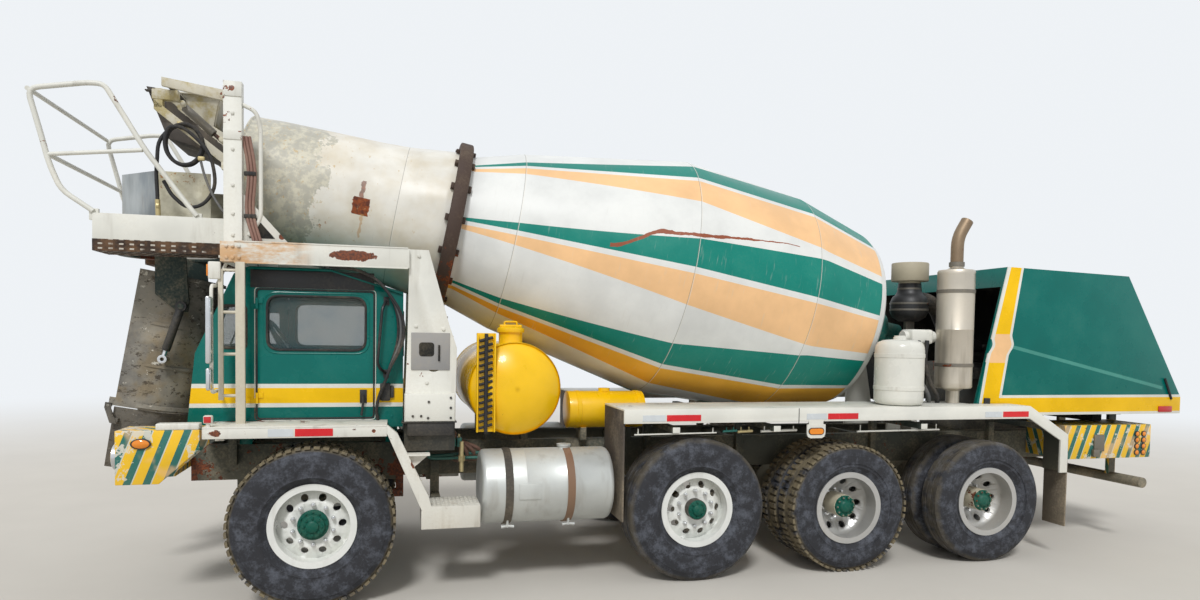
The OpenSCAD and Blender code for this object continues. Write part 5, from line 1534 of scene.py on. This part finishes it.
class MIXER_OT_tail(bpy.types.Operator):
    """Rear bumper boxes with hazard stripes and lamps"""
    bl_idname = "mixer_truck.tail"
    bl_label = "Rear bumper"

    def execute(self, context):
        def pick(face):
            spot = face.calc_center_median()
            return 0 if abs(spot.y) > 0.43 and spot.z > 0.8 and AXLE_X - spot.x < 7.7 else 1

        dressed("rear_bumper", ["Hazard paint", "Frame paint"], 0.004, pick=pick)
        shape = Shape()
        for side in shape.sides():
            for b in (7.52, 7.6):
                for z in (0.88, 0.94, 1.0, 1.06):
                    where = aim(at(b, side * 0.898, z), (0, side, 0))
                    lamp(shape, where, 20, 0, [(0.028, 0.0), (0.028, 0.012), (0.022, 0.014)],
                         1, [(0.023, 0.012), (0.016, 0.018), (0.0, 0.02)])
            for y, index in ((0.5, 2), (0.62, 2), (0.74, 1)):
                where = aim(at(7.688, side * y, 0.98), (-1, 0, 0))
                lamp(shape, where, 32, 0, [(0.052, 0.0), (0.052, 0.012), (0.046, 0.014)],
                     index, [(0.048, 0.012), (0.034, 0.02), (0.0, 0.023)])
            shape.use(3).block((6.98, 7.05), (0.9, 0.935), (0.85, 0.92), bevel=0.005)
            shape.use(3).block((7.0, 7.12), (0.9, 0.918), (0.9, 1.06), bevel=0.005)
        shape.piece("tail_lamps", ["Black rubber", "Amber lens", "Red lens", "Bare steel"], "rear_bumper",
                    smooth=50)
        return {"FINISHED"}


class MIXER_OT_chassis(bpy.types.Operator):
    """Frame rails, axles, springs and the steering knuckles"""
    bl_idname = "mixer_truck.chassis"
    bl_label = "Frame and axles"

    def execute(self, context):
        for node in ("frame_rails", "front_axle", "fixed_axles", "suspension", "knuckle_left",
                     "knuckle_right"):
            dressed(node, "Frame paint", 0.003)
        shape = Shape()
        for _ in shape.sides():
            for i in range(52):
                for z in (0.84, 0.99):
                    shape.bolt(-0.85 + i * 0.165, RAIL_SIDE, z, 0.011, 0.008)
        shape.piece("frame_bolts", "Frame paint", "frame_rails")
        return {"FINISHED"}


class MIXER_OT_hoses(bpy.types.Operator):
    """Hoses and pipes, with their valves, filter and grab tubes"""
    bl_idname = "mixer_truck.hoses"
    bl_label = "Hoses and pipes"

    def execute(self, context):
        shape = Shape()
        # Bundle down the rear of the cab and along the frame
        for k in range(3):
            y = 0.895 + 0.022 * k
            shape.use(k % 2).tube([(0.05 + 0.02 * k, y, 2.395), (0.33, y, 2.36), (0.5, y, 2.22),
                                   (0.575 + 0.02 * k, y, 1.95), (0.5, y, 1.62), (0.42, y - 0.03, 1.36),
                                   (0.43, y - 0.05, 1.275)], 0.011, soft=True)
        # Red-brown hoses behind the leg, down to the frame
        for k in range(4):
            y = 0.76 - 0.05 * k
            shape.use(2).tube([(0.66 + 0.05 * k, y, 1.32), (0.92 + 0.03 * k, y, 1.14), (1.02, y - 0.03, 1.1),
                               (1.05 + 0.06 * k, y - 0.1, 0.94), (0.98, 0.47, 0.92)], 0.016, soft=True)
        for k in range(2):
            y = 0.7 - 0.12 * k
            shape.use(3).pipe([(0.8, y, 1.05), (0.8, y, 0.95), (1.6, y, 0.95 + 0.04 * k), (2.2, 0.47, 0.95)],
                              0.013)
        # White filter housing between the upright tank and the muffler, and the hoses down from it
        shape.use(5).block((5.02, 5.24), (0.66, 0.84), (1.9, 2.03), bevel=0.02)
        shape.rod((4.98, 0.75, 1.965), (5.3, 0.75, 1.965), 0.052)
        shape.rod((5.15, 0.75, 1.72), (5.15, 0.75, 1.92), 0.055)
        for k in range(3):
            b, y = 5.03 + 0.065 * k, 0.8 + 0.03 * k
            shape.use(1 if k == 1 else 0).tube([(b, y, 1.93), (b - 0.03, y + 0.02, 1.75),
                                                (b + 0.01, y + 0.03, 1.58), (b + 0.1, y + 0.02, 1.44),
                                                (b + 0.14, y - 0.02, 1.375)], 0.019, soft=True)
        # Hose coil that hangs on the hopper's arm, its drop to the platform and a wide loop behind it
        loop = []
        for i in range(24):
            turn = math.radians(100 - i * 30)
            loop.append((-0.912 + 0.118 * math.cos(turn), 0.66 + 0.003 * i, 3.244 + 0.145 * math.sin(turn)))
        shape.use(0).tube([(-1.087, 0.69, 2.84), (-1.092, 0.68, 3.12),
                           (-1.06, 0.66, 3.3)] + loop + [(-0.8, 0.74, 3.26), (-0.71, 0.75, 3.08),
                                                         (-0.735, 0.74, 2.88), (-0.858, 0.73, 2.798),
                                                         (-0.97, 0.71, 2.86), (-1.05, 0.68, 2.98)], 0.013,
                          soft=True)
        shape.use(4).rod((-1.087, 0.69, 2.845), (-1.083, 0.69, 2.7), 0.017)
        shape.rod((-1.092, 0.69, 2.8), (-1.075, 0.69, 2.8), 0.026, sides=6)
        shape.block((-0.965, -0.935), (0.645, 0.675), (3.36, 3.41), bevel=0.006)
        shape.block((-0.815, -0.77), (0.72, 0.745), (3.13, 3.16), bevel=0.006)
        shape.use(1).tube([(-0.8, 0.73, 3.14), (-0.76, 0.75, 3.0), (-0.66, 0.79, 2.8), (-0.6, 0.795, 2.73)],
                          0.009, soft=True)
        for k in range(3):
            b = -0.47 + 0.022 * k
            shape.use(2).tube([(b - 0.03, 0.84, 3.3), (b + 0.01, 0.865, 3.05), (b, 0.865, 2.75),
                               (b + 0.05, 0.9, 2.56)], 0.011, soft=True)
        # Clamps of the mast's hoses, and the valves between the leg and the step
        for z in (2.72, 3.02):
            shape.use(0).block((-0.488, -0.408), (0.852, 0.882), (z, z + 0.03), bevel=0.006)
        for i in range(6):
            b = 0.78 + i * 0.047
            shape.use(3).block((b, b + 0.038), (0.74, 0.84), (1.055, 1.125), bevel=0.006)
            shape.use(4).rod((b + 0.019, 0.79, 1.125), (b + 0.019, 0.79, 1.15), 0.01, sides=6)
        shape.rod((1.05, 0.86, 1.1), (1.05, 0.86, 0.87), 0.016)
        shape.rod((1.05, 0.86, 0.99), (1.05, 0.86, 0.95), 0.028, sides=6)
        # Thin pipes below the decks
        for low, high, y, z, radius, index in ((2.34, 3.02, 1.16, 1.168, 0.006, 5),
                                               (3.08, 3.2, 1.15, 1.182, 0.01, 3),
                                               (3.21, 3.34, 1.14, 1.176, 0.012, 4),
                                               (3.42, 3.74, 1.13, 1.176, 0.011, 5),
                                               (4.3, 5.1, 1.13, 1.16, 0.008, 5)):
            shape.use(index).rod((low, y, z), (high, y, z + 0.006), radius, sides=10)
            for b in (low + 0.03, high - 0.03):
                shape.rod((b, y, z + 0.003), (b, y, 1.215), 0.005, sides=8)
        shape.piece("hoses", ["Black rubber", "Hose grey", "Red hose", "Green paint", "Brass",
                              "Clean white paint"], "mudflaps", smooth=60)
        # Bent grab tubes behind the masts
        shape = Shape()
        for _ in shape.sides():
            y = 0.85
            shape.pipe([(-0.505, y, 3.52), (-0.41, y, 3.48), (-0.38, y, 3.36), (-0.38, y, 2.72),
                        (-0.46, y, 2.6)], 0.015, 0.08, sides=3)
        shape.piece("mast_grab_tubes", "White paint", "platform_rail")
        return {"FINISHED"}


# Camera: place, yaw, pitch and roll in degrees, focal length in mm and shift; then where the sun stands
CAMERA_SPOT = (2.48, 6.89, 1.923)
CAMERA_ANGLES = (14.56, 2.29, 0.9)
CAMERA_LENS = 23.4
CAMERA_SHIFT = 0.0563
SUN_FROM = (0.35, 1.0, 1.15)


class MIXER_OT_stage(bpy.types.Operator):
    """Floor, light and the camera at the photograph's angle"""
    bl_idname = "mixer_truck.stage"
    bl_label = "Stage"

    def execute(self, context):
        scene = context.scene
        stage = settings().stage
        scene.view_settings.view_transform = "Standard"

        shape = Shape()
        bmesh.ops.create_circle(shape.bm, cap_ends=True, radius=90, segments=96)
        mesh = bpy.data.meshes.new("floor")
        shape.bm.to_mesh(mesh)
        shape.bm.free()
        placed("floor", mesh)
        g = Graph("Floor", 0.9)
        g.put("Base Color", g.mix(g.noise(0.8, 4.0), tint(196, 192, 184), tint(208, 204, 196)))
        x, y, _ = g.axes()
        far = g.math("SQRT", x * x + y * y)
        glow = g.wire("ShaderNodeEmission", {"Color": tuple(stage.sky)})
        share = g.step(far, 7.0, 22.0) * g.seen()
        blend = g.wire("ShaderNodeMixShader", {0: share, 1: Wire(g, g.shader.outputs[0]), 2: glow})
        g.feed(g.tree.nodes["Material Output"].inputs["Surface"], blend)
        mesh.materials.append(g.material)

        world = bpy.data.worlds.new("Studio")
        scene.world = world
        world.use_nodes = True
        tree = Tree(world.node_tree)
        back = tree.tree.nodes["Background"]
        tree.feed(back.inputs["Color"], tree.mix(tree.seen(), (stage.fill,) * 3 + (1.0,), tuple(stage.sky)))
        back.inputs["Strength"].default_value = 1.0

        lamp = bpy.data.lights.new("Key", "SUN")
        lamp.energy = stage.key
        lamp.angle = math.radians(12)
        key = placed("Key", lamp)
        key.rotation_euler = Vector(SUN_FROM).to_track_quat("Z", "Y").to_euler()

        yaw, pitch, roll = (math.radians(v) for v in CAMERA_ANGLES)
        forward = Vector((-math.sin(yaw) * math.cos(pitch), -math.cos(yaw) * math.cos(pitch),
                          -math.sin(pitch)))
        right = Vector((-math.cos(yaw), math.sin(yaw), 0))
        up = right.cross(forward)
        across = right * math.cos(roll) + up * math.sin(roll)
        upright = up * math.cos(roll) - right * math.sin(roll)
        data = bpy.data.cameras.new("Camera")
        data.sensor_width = 36
        data.lens = CAMERA_LENS
        data.shift_y = CAMERA_SHIFT
        data.clip_end = 300
        camera = placed("Camera", data)
        turn = Matrix((across, upright, -forward)).transposed().to_4x4()
        camera.matrix_world = Matrix.Translation(CAMERA_SPOT) @ turn
        scene.camera = camera
        return {"FINISHED"}


def paint_prop(name, words, red, green, blue):
    return bpy.props.FloatVectorProperty(name=name, description=words, subtype="COLOR", size=4, min=0.0,
                                         max=1.0,
                                         default=tint(red, green, blue))


def length_prop(name, words, default):
    return bpy.props.FloatProperty(name=name, description=words, default=default, min=0.0, unit="LENGTH")


class MixerPaints(bpy.types.PropertyGroup):
    white: paint_prop("White", "White of the stand, decks and fenders", 226, 226, 218)
    green: paint_prop("Green", "Green of the cab and the hood", 0, 106, 98)
    drum_green: paint_prop("Drum green", "Green of the drum's bands", 0, 130, 116)
    # Peach stands for the faded yellow of the hazard stripes and the hood's stripe, and on the drum's upper
    # bands for a painted highlight
    peach: paint_prop("Peach", "Bleached yellow of the drum's bands", 246, 200, 148)
    yellow: paint_prop("Yellow", "Yellow of the tank and the stripes", 246, 196, 8)


class MixerCab(bpy.types.PropertyGroup):
    stripe_low: length_prop("Stripe foot", "Height of the lower edge of the yellow stripe", 1.403)
    stripe_high: length_prop("Stripe top", "Height of the upper edge of the yellow stripe", 1.513)
    stripe_line: length_prop("White line", "Height of the white line on either side of the stripe", 0.03)


class MixerDrum(bpy.types.PropertyGroup):
    line_angle: bpy.props.FloatProperty(name="Line angle", default=90.8,
                                        description="Place of one white line round the drum, in degrees")
    pairs: bpy.props.IntProperty(name="Pairs of bands", default=7, min=1,
                                 description="Pairs of green and peach bands round the drum")


class MixerTyres(bpy.types.PropertyGroup):
    blocks: bpy.props.IntProperty(name="Blocks", description="Tread blocks in each row", default=56, min=8)
    block_depth: length_prop("Block depth", "Depth of the tread blocks", 0.014)


class MixerStage(bpy.types.PropertyGroup):
    sky: bpy.props.FloatVectorProperty(name="Background", description="Colour behind the truck",
                                       subtype="COLOR", size=4, default=(0.86, 0.89, 0.92, 1.0),
                                       min=0.0, max=1.0)
    fill: bpy.props.FloatProperty(name="Fill", description="Strength of the even light", default=0.62,
                                  min=0.0)
    key: bpy.props.FloatProperty(name="Key", description="Strength of the main light", default=1.9, min=0.0)


class MixerSettings(bpy.types.PropertyGroup):
    paints: bpy.props.PointerProperty(type=MixerPaints)
    cab: bpy.props.PointerProperty(type=MixerCab)
    drum: bpy.props.PointerProperty(type=MixerDrum)
    tyres: bpy.props.PointerProperty(type=MixerTyres)
    stage: bpy.props.PointerProperty(type=MixerStage)


MAKERS = [MIXER_OT_stage, MIXER_OT_chassis, MIXER_OT_tyres, MIXER_OT_wheels, MIXER_OT_drum, MIXER_OT_cab,
          MIXER_OT_doors, MIXER_OT_seat, MIXER_OT_stand, MIXER_OT_platform, MIXER_OT_chutes, MIXER_OT_front,
          MIXER_OT_fenders, MIXER_OT_tanks, MIXER_OT_engine, MIXER_OT_hood, MIXER_OT_tail, MIXER_OT_hoses]


class MIXER_PT_panel(bpy.types.Panel):
    """The settings, and a button for each group of pieces"""
    bl_label = "Mixer truck"
    bl_idname = "MIXER_PT_panel"
    bl_space_type = "VIEW_3D"
    bl_region_type = "UI"
    bl_category = "Mixer truck"

    def draw(self, context):
        group = context.scene.mixer_truck
        for part in (group.paints, group.cab, group.drum, group.tyres, group.stage):
            for name in part.__annotations__:
                self.layout.prop(part, name)
        for maker in MAKERS:
            self.layout.operator(maker.bl_idname)


CLASSES = [MixerPaints, MixerCab, MixerDrum, MixerTyres, MixerStage,
           MixerSettings] + MAKERS + [MIXER_PT_panel]


def register():
    for each in CLASSES:
        bpy.utils.register_class(each)
    bpy.types.Scene.mixer_truck = bpy.props.PointerProperty(type=MixerSettings)


def unregister():
    del bpy.types.Scene.mixer_truck
    for each in reversed(CLASSES):
        bpy.utils.unregister_class(each)


def main():
    register()
    for maker in MAKERS:
        group, name = maker.bl_idname.split(".")
        getattr(getattr(bpy.ops, group), name)()


if __name__ == "__main__":
    main()
